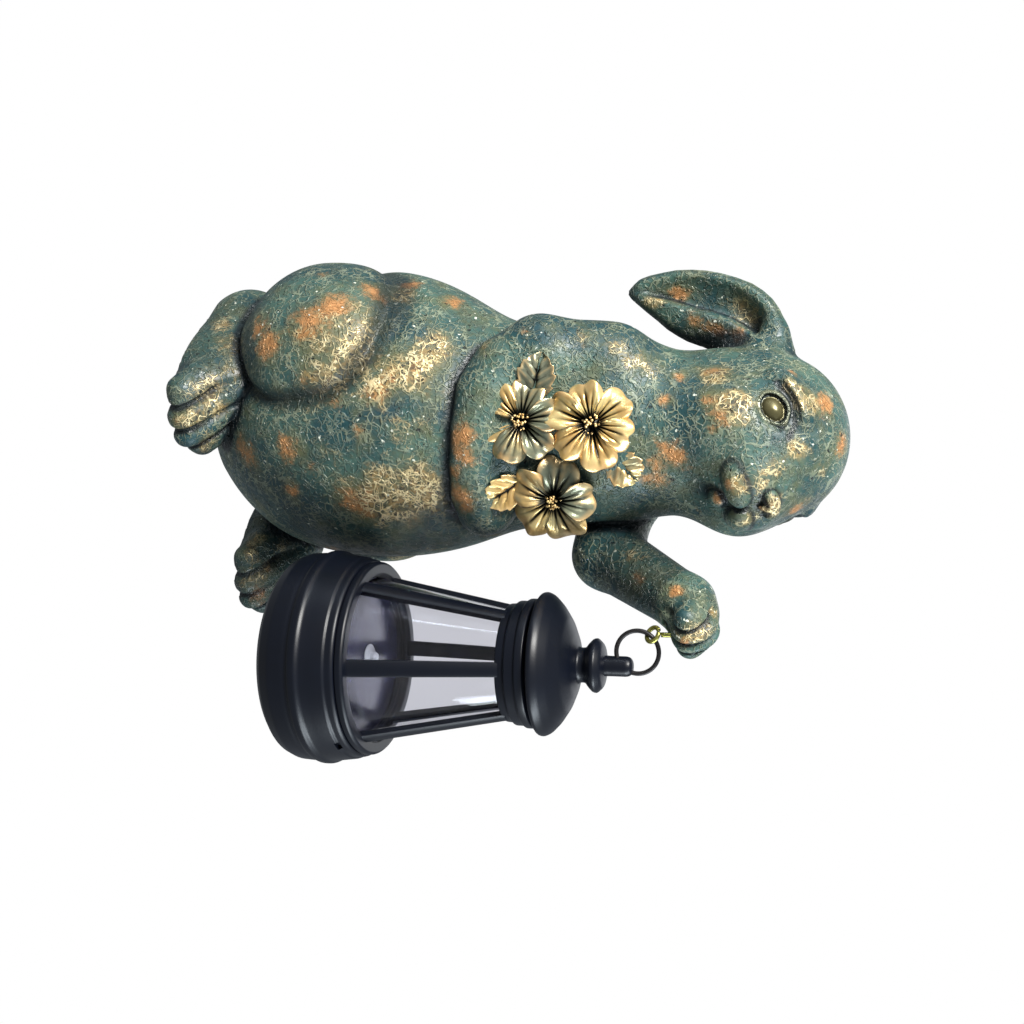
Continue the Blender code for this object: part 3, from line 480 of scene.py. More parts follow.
def tube(path, r, sides=16, closed=False):
    path = np.asarray(path, float)
    n = len(path)
    tan = np.roll(path, -1, 0) - np.roll(path, 1, 0) if closed else np.gradient(path, axis=0)
    tan /= np.linalg.norm(tan, axis=1)[:, None]
    ref = np.array([0.31, 0.52, 0.79])
    u = np.cross(tan[0], ref)
    verts, faces = [], []
    for i in range(n):
        u = u - tan[i] * (u @ tan[i])
        u /= np.linalg.norm(u)
        w = np.cross(tan[i], u)
        rr = r[i] if np.ndim(r) else r
        t = np.arange(sides) * 2 * np.pi / sides
        verts += (path[i] + rr * (np.cos(t)[:, None] * u + np.sin(t)[:, None] * w)).tolist()
    for i in range(n if closed else n - 1):
        for k in range(sides):
            a, b = i * sides, ((i + 1) % n) * sides
            faces.append([a + k, a + (k + 1) % sides, b + (k + 1) % sides, b + k])
    if not closed:
        faces.append(list(range(sides))[::-1])
        faces.append(list(range((n - 1) * sides, n * sides)))
    return verts, faces


def joined(parts):
    verts, faces = [], []
    for v, f in parts:
        faces += [[i + len(verts) for i in q] for q in f]
        verts += [tuple(q) for q in v]
    return verts, faces


# ---------------------------------------------------------------- materials
def new_material(name):
    m = bpy.data.materials.new(name)
    m.use_nodes = True
    return m, m.node_tree, m.node_tree.nodes["Principled BSDF"]


class Net:
    """Short ways to wire a node tree."""

    def __init__(self, tree):
        self.t = tree

    def node(self, kind, **props):
        n = self.t.nodes.new(kind)
        for k, v in props.items():
            setattr(n, k, v)
        return n

    def put(self, socket, value):
        if isinstance(value, bpy.types.NodeSocket):
            self.t.links.new(value, socket)
        elif value is not None:
            socket.default_value = value

    def math(self, op, a, b=None, c=None, clamp=False):
        n = self.node("ShaderNodeMath", operation=op, use_clamp=clamp)
        for i, x in enumerate((a, b, c)):
            self.put(n.inputs[i], x)
        return n.outputs[0]

    def vec(self, op, a, b=None, scale=None):
        n = self.node("ShaderNodeVectorMath", operation=op)
        self.put(n.inputs[0], a)
        if b is not None:
            self.put(n.inputs[1], b)
        if scale is not None:
            self.put(n.inputs["Scale"], scale)
        return n.outputs["Vector"]

    def noise(self, vector, scale, detail=2.0, rough=0.5, distortion=0.0, out="Fac"):
        n = self.node("ShaderNodeTexNoise")
        self.put(n.inputs["Vector"], vector)
        for k, v in (("Scale", scale), ("Detail", detail), ("Roughness", rough), ("Distortion", distortion)):
            self.put(n.inputs[k], v)
        return n.outputs[out]

    def voronoi(self, vector, scale, feature="DISTANCE_TO_EDGE", out="Distance"):
        n = self.node("ShaderNodeTexVoronoi", feature=feature)
        self.put(n.inputs["Vector"], vector)
        self.put(n.inputs["Scale"], scale)
        return n.outputs[out]

    def remap(self, x, a, b, c=0.0, d=1.0, kind="SMOOTHSTEP"):
        n = self.node("ShaderNodeMapRange", interpolation_type=kind, clamp=True) if kind == "LINEAR" else self.node("ShaderNodeMapRange", interpolation_type=kind)
        for i, v in enumerate((x, a, b, c, d)):
            self.put(n.inputs[i], v)
        return n.outputs[0]

    def mix(self, fac, a, b):
        n = self.node("ShaderNodeMix", data_type="RGBA", blend_type="MIX")
        self.put(n.inputs[0], fac)
        for s, x in ((n.inputs[6], a), (n.inputs[7], b)):
            self.put(s, (*x, 1.0) if isinstance(x, tuple) and len(x) == 3 else x)
        return n.outputs[2]

    def attribute(self, name):
        return self.node("ShaderNodeAttribute", attribute_name=name).outputs["Fac"]

    def coords(self):
        return self.node("ShaderNodeTexCoord").outputs["Object"]

    def bump(self, height, strength, distance, normal=None):
        n = self.node("ShaderNodeBump")
        for k, v in (("Height", height), ("Strength", strength), ("Distance", distance)):
            self.put(n.inputs[k], v)
        if normal is not None:
            self.put(n.inputs["Normal"], normal)
        return n.outputs[0]


def srgb(r, g, b):
    return tuple(((c / 255 + 0.055) / 1.055) ** 2.4 if c > 10 else c / 255 / 12.92 for c in (r, g, b))


def patina():
    m, tree, s = new_material("patina_resin_fine")
    n = Net(tree)
    co = n.coords()
    gold, copper, shade_and_wash, eye = n.attribute("gold"), n.attribute("copper"), n.attribute("shade_and_wash"), n.attribute("eye")
    rough = n.math("SUBTRACT", 1.0, eye)

    def apart(x, y, z):
        return n.vec("ADD", co, (x, y, z))

    wob = n.vec("SUBTRACT", n.noise(co, 110.0, 2.0, out="Color"), (0.5, 0.5, 0.5))
    c1 = n.vec("ADD", co, n.vec("SCALE", wob, scale=0.0075))
    wob2 = n.vec("SUBTRACT", n.noise(apart(0.31, 0.17, 0.23), 210.0, 2.0, out="Color"), (0.5, 0.5, 0.5))
    c2 = n.vec("ADD", co, n.vec("SCALE", wob2, scale=0.0055))
    # raised scribble: two broken networks and winding strokes
    e1 = n.voronoi(n.vec("MULTIPLY", c1, (0.75, 0.75, 1.25)), 230.0)
    e2 = n.voronoi(n.vec("MULTIPLY", n.vec("ADD", c2, (0.5, 0.2, 0.9)), (1.25, 1.25, 0.60)), 340.0)
    l1 = n.remap(e1, 0.028, 0.085, 1.0, 0.0)
    l2 = n.remap(e2, 0.035, 0.11, 1.0, 0.0)
    w1 = n.math("ABSOLUTE", n.math("SUBTRACT", n.noise(c2, 230.0, 1.0), 0.5))
    l3 = n.remap(w1, 0.006, 0.021, 1.0, 0.0)
    l1 = n.math("MULTIPLY", l1, n.remap(n.noise(apart(0.1, 0.5, 0.2), 190.0, 1.0), 0.40, 0.50))
    l2 = n.math("MULTIPLY", l2, n.remap(n.noise(apart(0.7, 0.1, 0.4), 230.0, 1.0), 0.44, 0.54))
    l3 = n.math("MULTIPLY", l3, n.remap(n.noise(apart(0.3, 0.8, 0.6), 130.0, 1.0), 0.44, 0.54))
    lines = n.math("MULTIPLY", n.math("MAXIMUM", l1, n.math("MAXIMUM", l2, l3)), rough)
    # ground: dark teal to grey green, with darker blue between
    big = n.noise(co, 24.0, 3.0, 0.6)
    mid = n.noise(co, 70.0, 4.0, 0.65)
    fine = n.noise(co, 480.0, 3.0, 0.7)
    base = n.mix(n.remap(big, 0.36, 0.64), srgb(28, 62, 66), srgb(66, 95, 86))
    base = n.mix(n.math("MULTIPLY", n.remap(mid, 0.44, 0.70), 0.75), base, srgb(86, 92, 66))
    base = n.mix(n.math("MULTIPLY", n.remap(n.noise(apart(0.9, 0.2, 0.5), 55.0, 3.0, 0.6), 0.48, 0.74), 0.6), base, srgb(20, 52, 64))
    base = n.mix(n.math("MULTIPLY", n.remap(fine, 0.50, 0.78), 0.45), base, srgb(14, 40, 46))
    base = n.mix(n.math("MULTIPLY", lines, n.remap(n.noise(apart(0.4, 0.4, 0.1), 60.0, 3.0, 0.6), 0.36, 0.62, 0.14, 0.55)), base, srgb(150, 156, 130))
    warm = n.remap(n.math("ADD", n.math("ADD", gold, copper), n.math("MULTIPLY", n.math("SUBTRACT", mid, 0.5), 1.2)), 0.05, 0.75)
    base = n.mix(n.math("MULTIPLY", warm, 0.60), base, srgb(98, 98, 66))
    # copper, rubbed on softly
    cmask = n.remap(n.math("ADD", copper, n.math("MULTIPLY", n.math("SUBTRACT", n.noise(apart(0.2, 0.1, 0.7), 170.0, 5.0, 0.8), 0.5), 2.1)), 0.34, 1.05)
    cmask = n.math("MULTIPLY", cmask, rough)
    cop = n.mix(n.noise(co, 260.0, 4.0, 0.75), srgb(128, 84, 44), srgb(236, 172, 112))
    base = n.mix(n.math("MULTIPLY", cmask, 0.95), base, cop)
    # gold: bright on the raised lines, a thin olive film between them
    gmask = n.remap(n.math("ADD", gold, n.math("MULTIPLY", n.math("SUBTRACT", n.noise(apart(0.2, 0.6, 0.3), 120.0, 4.0, 0.75), 0.5), 1.8)), 0.22, 0.80)
    gmask = n.math("MULTIPLY", gmask, rough)
    film = n.mix(n.noise(co, 380.0, 3.0, 0.7), srgb(92, 80, 50), srgb(192, 156, 98))
    base = n.mix(n.math("MULTIPLY", gmask, n.remap(n.noise(co, 300.0, 3.0, 0.6), 0.42, 0.62, 0.12, 0.85)), base, film)
    bright = n.mix(n.noise(co, 210.0, 2.0), srgb(206, 180, 118), srgb(246, 232, 192))
    gl = n.math("MULTIPLY", gmask, lines)
    near = n.math("MULTIPLY", n.math("MULTIPLY", gmask, n.math("SUBTRACT", 1.0, lines)), n.remap(n.noise(apart(0.5, 0.9, 0.2), 330.0, 2.0), 0.50, 0.60))
    base = n.mix(n.math("MULTIPLY", near, 0.75), base, srgb(20, 34, 36))
    base = n.mix(gl, base, bright)
    # pits, painted glints of highlight, and painted shade with the dark wash in hollows
    pits = n.math("MULTIPLY", n.remap(n.noise(apart(0.6, 0.3, 0.8), 340.0, 2.0), 0.31, 0.26), rough)
    base = n.mix(n.math("MULTIPLY", pits, 0.85), base, srgb(8, 16, 20))
    # painted glints: tiny white highlights strewn by noise
    painted_glint = n.math("MULTIPLY", n.remap(n.noise(apart(0.8, 0.7, 0.1), 420.0, 1.0), 0.735, 0.765), rough)
    base = n.mix(n.math("MULTIPLY", painted_glint, 0.8), base, srgb(226, 230, 214))
    # the eye's own olive gold; the lower share on the lid ring is a painted highlight
    ball_gold = n.mix(n.noise(co, 120.0, 2.0), srgb(66, 66, 44), srgb(120, 112, 76))
    base = n.mix(eye, base, ball_gold)
    # painted shade, with the patina's dark wash, laid on by the per-vertex numbers for hollows, creases and shaded
    # regions
    base = n.mix(n.math("MULTIPLY", n.remap(shade_and_wash, 0.08, 0.80), 0.93), base, srgb(5, 20, 27))
    n.put(s.inputs["Base Color"], base)
    n.put(s.inputs["Metallic"], n.math("MULTIPLY", n.math("MAXIMUM", n.math("MAXIMUM", gl, n.math("MULTIPLY", cmask, 0.6)), eye), 0.55))
    n.put(s.inputs["Roughness"], n.math("SUBTRACT", n.remap(n.noise(co, 200.0, 3.0), 0.3, 0.7, 0.34, 0.56), n.math("MULTIPLY", eye, 0.12)))
    height = n.math("ADD", lines, n.math("MULTIPLY", n.math("MULTIPLY", n.noise(co, 560.0, 3.0, 0.6), 0.55), rough))
    height = n.math("SUBTRACT", height, n.math("MULTIPLY", pits, 0.9))
    n.put(s.inputs["Normal"], n.bump(height, 1.0, 0.00052))
    return m


def antique_gold(name="antique_gold"):
    m, tree, s = new_material(name)
    n = Net(tree)
    co = n.coords()
    shade_and_wash, rim, tone = n.attribute("shade_and_wash"), n.attribute("rim"), n.attribute("tone")
    mottle = n.noise(co, 150.0, 3.0, 0.65)
    base = n.mix(mottle, srgb(186, 140, 76), srgb(236, 202, 132))
    # paler gold spots strewn by noise: painted highlights
    base = n.mix(n.math("MULTIPLY", n.remap(n.noise(n.vec("ADD", co, (0.4, 0.1, 0.7)), 90.0, 2.0), 0.44, 0.64), 0.8), base, srgb(250, 228, 162))
    green = n.mix(mottle, srgb(70, 88, 80), srgb(146, 156, 136))
    dull = n.remap(n.math("ADD", tone, n.math("MULTIPLY", n.math("SUBTRACT", n.noise(co, 110.0, 3.0, 0.6), 0.5), 0.9)), 0.25, 0.75)
    base = n.mix(n.math("MULTIPLY", dull, 0.9), base, green)
    edge = n.math("MULTIPLY", rim, n.remap(n.noise(co, 190.0, 2.0), 0.30, 0.56))
    base = n.mix(n.math("MULTIPLY", edge, 0.85), base, n.mix(n.noise(co, 75.0, 2.0), srgb(224, 150, 66), srgb(255, 238, 184)))
    # painted shade with some dark wash: creases, hearts, vein troughs, overlapped edges and undersides go near black
    dark = n.math("ADD", shade_and_wash, n.math("MULTIPLY", n.math("SUBTRACT", n.noise(co, 240.0, 3.0, 0.7), 0.5), 0.35), clamp=True)
    base = n.mix(n.remap(dark, 0.14, 0.72), base, srgb(16, 18, 14))
    n.put(s.inputs["Base Color"], base)
    s.inputs["Metallic"].default_value = 0.6
    s.inputs["Roughness"].default_value = 0.30
    n.put(s.inputs["Normal"], n.bump(n.noise(co, 420.0, 3.0, 0.6), 0.35, 0.0004))
    return m


def plastic(name):
    m, tree, s = new_material(name)
    n = Net(tree)
    co = n.coords()
    n.put(s.inputs["Base Color"], n.mix(n.noise(co, 60.0, 3.0), srgb(4, 6, 13), srgb(8, 13, 25)))
    s.inputs["Roughness"].default_value = 0.38
    s.inputs["Specular IOR Level"].default_value = 0.34
    n.put(s.inputs["Normal"], n.bump(n.noise(co, 900.0, 2.0), 0.06, 0.0003))
    return m


PATINA, GOLD, BLACK = patina(), antique_gold(), plastic("satin_black")

m, tree, s = new_material("yellow_brass")
n = Net(tree)
n.put(s.inputs["Base Color"], n.mix(n.noise(n.coords(), 500.0, 3.0), srgb(150, 150, 70), srgb(214, 208, 120)))
s.inputs["Metallic"].default_value = 0.9
s.inputs["Roughness"].default_value = 0.32
BRASS = m

m, tree, s = new_material("black_wire_fine")
s.inputs["Base Color"].default_value = (*srgb(40, 38, 38), 1)
s.inputs["Metallic"].default_value = 0.5
s.inputs["Roughness"].default_value = 0.38
WIRE = m

m, tree, s = new_material("clear_pane")
s.inputs["Base Color"].default_value = (0.90, 0.90, 0.94, 1)
s.inputs["Transmission Weight"].default_value = 1.0
s.inputs["Roughness"].default_value = 0.03
s.inputs["IOR"].default_value = 1.3
PANE = m

m, tree, s = new_material("cell_blue")
n = Net(tree)
co = n.coords()
n.put(s.inputs["Base Color"], n.mix(n.noise(co, 70.0, 3.0), srgb(18, 20, 36), srgb(52, 54, 84)))
s.inputs["Roughness"].default_value = 0.22
CELL = m

m, tree, s = new_material("led_clear")
s.inputs["Base Color"].default_value = (*srgb(214, 218, 226), 1)
s.inputs["Roughness"].default_value = 0.12
s.inputs["Transmission Weight"].default_value = 0.4
LAMP = m

# ---------------------------------------------------------------- the casting
H = 1.2


def finer(verts, faces, spots):
    """Halves the faces near the spots, so that small shapes keep their edges."""
    me = bpy.data.meshes.new("finer")
    me.from_pydata(verts.tolist(), [], faces)
    ends = np.empty(len(me.edges) * 2, np.int32)
    me.edges.foreach_get("vertices", ends)
    mid = verts[ends.reshape(-1, 2)].mean(1)
    pick = np.zeros(len(mid), bool)
    for c, r in spots:
        pick |= ((mid - c) ** 2).sum(1) < r * r
    bm = bmesh.new()
    bm.from_mesh(me)
    bm.edges.ensure_lookup_table()
    bmesh.ops.subdivide_edges(bm, edges=[bm.edges[i] for i in np.flatnonzero(pick)], cuts=1, use_grid_fill=True)
    bm.to_mesh(me)
    bm.free()
    out = np.empty(len(me.vertices) * 3, F)
    me.vertices.foreach_get("co", out)
    faces = [list(f.vertices) for f in me.polygons]
    bpy.data.meshes.remove(me)
    return out.reshape(-1, 3).astype(float), faces


verts, quads = surface(rabbit, (-84, -124, -3), (90, 92, 303), H)
quads = quads.tolist()
EYES = [on_head(*(EYE_AT * (s, 1, 1))) for s in (1, -1)]
verts, quads = finer(verts, quads, [(e, 13) for e in EYES] + [(on_head(0, -43, -4), 20), (np.array((36, -101, 232)), 17)])
verts, quads = finer(verts, quads, [(e, 10.5) for e in EYES] + [(on_head(0, -44, 0), 9)])
v = verts.astype(F)
for _ in range(3):
    d, g = rabbit(v), slope(rabbit, v)
    v = v - (np.clip(d, -1.0, 1.0) / np.maximum((g * g).sum(1), 0.3))[:, None] * g
v[:, 2] = np.maximum(v[:, 2], 0)
g = slope(rabbit, v, 0.4)
nrm = g / np.maximum(np.linalg.norm(g, axis=1), 1e-6)[:, None]
# painted shade: each point darkened by how shut in it is, sampled off the form at three steps out; it also stands for
# the dark wash the patina keeps in its recesses
shade_and_wash = np.zeros(len(v), F)
for step, w in ((2.0, 0.30), (4.5, 0.35), (9.0, 0.35)):
    shade_and_wash += w * np.clip(1 - rabbit(v + nrm * F(step)) / step, 0, 1)
shade_and_wash = np.clip((shade_and_wash - 0.12) / 0.55, 0, 1)
# painted shade along the creases and outlines, gathered by measuring the form once more
CREASE_SHADE.append(np.zeros(len(v), F))
rabbit(v)
shade_and_wash = np.maximum(shade_and_wash, 0.85 * np.max(CREASE_SHADE, axis=0))
# painted shade darkening the raised arm
arm_shade = np.minimum(limb(v, (41, -40, 190.3), (44.8, -51.8, 190.0), 16.6, 16), limb(v, (44.8, -51.8, 190.0), (38.4, -82.0, 224.3), 15.8, 13.1))
shade_and_wash = np.maximum(shade_and_wash, 0.52 * ramp(arm_shade, 1.6, 0.2))
CREASE_SHADE.clear()
# painted shade on the back of the near foot and on the far foot
shade_and_wash = np.maximum(shade_and_wash, 0.38 * ramp(v[:, 0], -20, -30) * ramp(v[:, 2], 44, 30) * ramp(v[:, 1], -54, -40) * ramp(v[:, 1], 30, 10))
shade_and_wash = np.maximum(shade_and_wash, 0.52 * ramp(v[:, 0], 30, 40) * ramp(v[:, 2], 34, 26) * ramp(v[:, 1], 0, -20))

# where the gold and the copper were rubbed on: middle, reach and strength
GOLD_AT = [(-66, -34, 85, 16, 0.62), (-69, -24, 91, 9, 0.75), (-60, -42, 80, 10, 0.75), (-58, -22, 123, 6, 1.0), (-57, -30, 118, 7,
    1.0), (-55, -37, 111, 7, 1.0), (-53, -43, 103, 6, 0.9), (-66, 8, 101, 6, 0.8), (-12, -66, 112, 11, 1.4), (-8, -69,
    100, 11, 1.4), (-20, -66, 99, 6, 0.9), (-37, -56, 110, 6, 0.55), (-12, -64, 124, 4, 0.6), (-61, -20, 22, 7, 0.6),
    (-57, -32, 27, 6, 0.5), (-29, -32, 282, 5, 1.0), (-32, -31, 279, 4, 1.0), (-34, -28, 274, 3, 0.8), (-17, -49, 278,
    4, 0.7), (-36, -22, 244, 6, 1.0), (-36, -39, 251, 6, 1.0), (-33, -45, 255, 4, 1.0), (-16, -57, 268, 6, 0.6), (-13,
    -63, 263, 5, 0.6), (-13, -65, 255, 5, 0.75), (4, -68, 257, 3, 0.75), (-2, -69, 268, 3, 0.8), (-45, -21, 211, 6,
    0.45), (-50, -20, 204, 6, 0.45), (-40, -23, 215, 4, 0.5), (-30, 34, 253, 6, 0.6), (-38, 33, 211, 4, 0.7), (30, -108,
    237, 5, 0.8), (32, -97, 243, 3, 0.7), (27, -67, 205, 4, 0.5), (-53, -45, 17, 6, 0.9), (-48, -57, 13, 5, 1.0),
    (-33, -54, 10, 5, 0.9), (-45, -47, 22, 5, 0.7), (-63, -5, 12, 6, 0.6), (36, -61, 11, 4, 0.6), (46, -67, 12, 5,
    0.5), (-49, -48, 103, 4, 0.5), (-31, -63, 78, 5, 0.35), (-40, -51, 120, 4, 0.4), (-46, -39, 130, 4, 0.4), (4, -70,
    94, 6, 0.5), (-58, -23, 145, 4, 0.4), (-56, -18, 188, 4, 0.4), (9, -52, 281, 4, 0.4), (-3, -47, 288, 4, 0.4),
    (-27, -47, 266, 2, 0.3)]
COPPER_AT = [(-73, 1, 91, 6, 0.8), (-78, -17, 78, 8, 1.0), (-76, -25, 69, 9, 1.0), (-70, -32, 49, 7, 1.0), (-72, -23, 42, 6, 0.8),
    (-56, -34, 116, 4, 0.9), (-52, -45, 99, 5, 1.0), (-55, -39, 106, 4, 0.9), (-58, 12, 123, 6, 0.8), (-64, 19, 102,
    5, 0.8), (-9, -69, 84, 8, 0.9), (-2, -70, 88, 5, 0.8), (-33, -60, 55, 6, 0.9), (-26, -65, 66, 4, 0.6), (-13, -67,
    53, 4, 0.9), (-26, -55, 30, 7, 0.9), (-35, -57, 137, 6, 1.0), (-29, -61, 138, 5, 0.9), (-21, -64, 133, 4, 0.8),
    (-11, -69, 134, 5, 1.0), (-6, -71, 136, 4, 1.0), (-6, -34, 295, 6, 0.9), (-23, -26, 288, 5, 1.0), (-34, -19, 275,
    3, 0.7), (11, -56, 276, 5, 0.9), (-35, -18, 242, 4, 0.8), (-33, -45, 246, 4, 0.8), (-36, -38, 242, 4, 0.8), (-30,
    -49, 244, 3, 0.7), (-4, -63, 245, 3, 0.9), (-37, -22, 229, 3, 0.9), (-33, -34, 222, 3, 0.8), (-17, -51, 226, 6,
    0.9), (-12, -52, 219, 5, 0.9), (-6, -54, 218, 5, 0.8), (25, -90, 227, 3, 0.8), (30, -80, 209, 4, 0.6), (33, -112,
    232, 3, 0.9), (-26, 20, 249, 4, 0.8), (-37, 40, 222, 4, 1.0), (-31, 26, 230, 4, 0.9), (-27, 23, 239, 4, 0.9), (46,
    -61, 17, 4, 0.6), (56, -71, 11, 5, 0.8), (-2, -68, 263, 3, 0.8), (-50, -60, 7, 3, 0.5), (-13, -65, 251, 3, 0.7),
    (-37, -54, 120, 3, 0.4), (-62, -19, 163, 3, 0.5), (-79, 7, 66, 4, 0.5), (-50, -49, 80, 4, 0.5), (-40, -57, 91, 4,
    0.4), (-61, -44, 67, 4, 0.5), (5, -68, 108, 4, 0.5)]


def patches(spots, seed):
    """The spots, their likes on the far side and a few on the back."""
    rng = np.random.default_rng(seed)
    rest = [(-x, y, z, r, 0.75 * s) for x, y, z, r, s in spots if x < -26 and r > 4]
    rest += [(55 * math.cos(t), 30 + 50 * math.sin(t), z, r, 0.8) for t, z, r in zip(rng.uniform(0.2, 2.9, 16), rng.uniform(20, 250, 16), rng.uniform(6, 12, 16))]
    out = np.zeros(len(v), F)
    for x, y, z, r, s in spots + rest:
        q = v - np.array((x, y, z), F)
        t = rng.normal(size=3)
        run = q @ (t / np.linalg.norm(t)).astype(F)
        out = np.maximum(out, s * np.exp(-((q ** 2).sum(1) - 0.55 * run ** 2) / F(1.25 * r * r)))
    return out


NOSE = on_head(-1.5, -47.5, 4.0)
gold = patches(GOLD_AT + [(*NOSE, 4.5, 1.1)], 3)
copper = patches(COPPER_AT + [(*(NOSE - (0, 0, 3)), 3, 0.9)], 8)
eye = np.zeros(len(v), F)
for s in (1, -1):
    q = (v - HEAD.astype(F)) @ HEAD_TURN.astype(F)
    q[:, 0] *= s
    e = (q - EYE_AT.astype(F)) @ EYE_TURN.astype(F)
    k = np.sqrt((e[:, 0] / 7.6) ** 2 + (e[:, 1] / (6.1 * (1 - 0.30 * np.clip(e[:, 0] / 7.6, 0, 1) ** 2))) ** 2)
    eye = np.maximum(eye, ramp(k, 0.84, 0.74) * (np.abs(e[:, 2]) < 6))
    # the lid ring takes a share of the eye's olive gold and smoothness, as a painted highlight along the lid
    eye = np.maximum(eye, 0.60 * np.exp(-((k - 1.02) * 6.8 / 1.15) ** 2) * (np.abs(e[:, 2]) < 4))
shade_and_wash *= 1 - 0.8 * (eye > 0.7)
body = piece("rabbit_casting", v, quads, PATINA, "patina_resin", ("rabbit_statue",), values={"gold": gold, "copper": copper, "shade_and_wash": shade_and_wash, "eye": eye})
mod = body.modifiers.new("Decimate", "DECIMATE")
mod.ratio = 190000 / sum(len(f) - 2 for f in quads)
bpy.context.view_layer.objects.active = body
body.select_set(True)
bpy.ops.object.modifier_apply(modifier=mod.name)
body.data.polygons.foreach_set("use_smooth", np.ones(len(body.data.polygons), bool))

# ---------------------------------------------------------------- flowers and leaves
FLOWERS = (((-32.2, -47.6, 193.0), (-0.70, -0.71, 0.10), 19.5, 6, 10),
           ((-34.0, -46.6, 162.4), (-0.70, -0.70, 0.05), 18.5, 6, 40),
           ((-1.0, -60.0, 173.0), (-0.30, -0.95, 0.08), 19.8, 5, 20))
LEAVES = (((-17.0, -51.5, 200.5), (-6.0, -53.0, 209.5), (-0.35, -0.92, 0.15), 8.0),
          ((-42.0, -40.0, 167.5), (-54.5, -28.5, 171.5), (-0.72, -0.68, 0.10), 8.0),
          ((-11.0, -60.0, 160.0), (-5.5, -66.0, 145.0), (-0.35, -0.90, 0.25), 7.5))


def shell(top, up, thick, deep_shade, rim, tone):
    """Closes a grid of points into a thick leaf."""
    nu, nv = top.shape[:2]
    bot = top - thick[..., None] * up
    k = nu * nv
    idx = np.arange(k).reshape(nu, nv)
    fs = []
    for i in range(nu - 1):
        for j in range(nv - 1):
            q = [idx[i, j], idx[i + 1, j], idx[i + 1, j + 1], idx[i, j + 1]]
            fs += [q, [t + k for t in q[::-1]]]
    ring = [*idx[:, 0], *idx[-1, 1:], *idx[-2::-1, -1], *idx[0, -2:0:-1]]
    for i in range(len(ring)):
        s1, s2 = ring[i], ring[(i + 1) % len(ring)]
        fs.append([s2, s1, s1 + k, s2 + k])
    # the top takes its painted shade numbers and the underside is painted fully shaded; the rim brightens only the top
    return (np.concatenate([top.reshape(-1, 3), bot.reshape(-1, 3)]), fs, np.concatenate([np.clip(deep_shade, 0, 1).ravel(), np.ones(k)]),
            np.concatenate([np.clip(rim, 0, 1).ravel(), np.zeros(k)]), np.full(2 * k, tone))


def petal(centre, out, up, side, length, spread, seed, tone, lift=0.30, curl=0.22):
    """A broad notched petal, creased along its length and ruffled at its rim."""
    rng = np.random.default_rng(seed)
    nu, nv = 26, 37
    a, ph, ph2, notch = rng.uniform(0.8, 1.2), rng.uniform(0, 6.3), rng.uniform(0, 6.3), rng.uniform(0.03, 0.13)
    u, w = np.meshgrid(np.linspace(0.06, 1, nu), np.linspace(-1, 1, nv), indexing="ij")
    reach = length * (1 - notch * np.exp(-(w / 0.20) ** 2) - 0.36 * np.abs(w) ** 3.4 + 0.015 * np.cos(w * 7 + ph))
    turn = w * spread * (0.80 + 0.20 * u)
    x, y = u * reach * np.cos(turn), u * reach * np.sin(turn)
    creases = sum(k * np.exp(-((w - c) / b) ** 2) for c, b, k in ((0.0, 0.10, 1.7), (0.42, 0.085, 1.1), (-0.45, 0.085, 1.1), (0.72, 0.05, 0.5), (-0.74, 0.05, 0.5)))
    z = length * (lift * np.sin(u * 1.8) - curl * u ** 3) - 1.0 * creases * np.clip(np.sin(np.pi * np.clip(u * 1.22, 0, 1) ** 0.85), 0, 1) ** 0.8
    z += 2.5 * a * np.cos(w * 3.4 + ph) * u ** 2.8 + 0.6 * np.cos(w * 10 + ph2) * u ** 5 + 2.7 * w * w * u ** 1.2 * (1 - 0.35 * u)
    top = centre + x[..., None] * out + y[..., None] * side + z[..., None] * up
    thick = (1.7 - 1.0 * u) * np.clip(1.02 - np.abs(w) ** 6 * 0.6, 0.2, 1)
    # painted shade: dark at the heart, along the creases and along the sides that lie under the next petal
    deep_shade = np.clip(1.3 - u * 2.9, 0, 1) + 0.85 * creases * np.clip(1.05 - u, 0, 1) ** 0.7 + 1.0 * np.abs(w) ** 12 * (1.05 - 0.5 * u)
    rim = np.clip((u - 0.80) * 6, 0, 1) + np.clip((np.abs(w) - 0.86) * 8, 0, 1) * np.clip(u * 2 - 0.7, 0, 1) + 0.5 * np.exp(-((np.abs(w) - 0.20) / 0.10) ** 2) * np.clip(u * 2 - 0.4, 0, 1)
    return shell(top, up, thick, deep_shade, rim, tone)


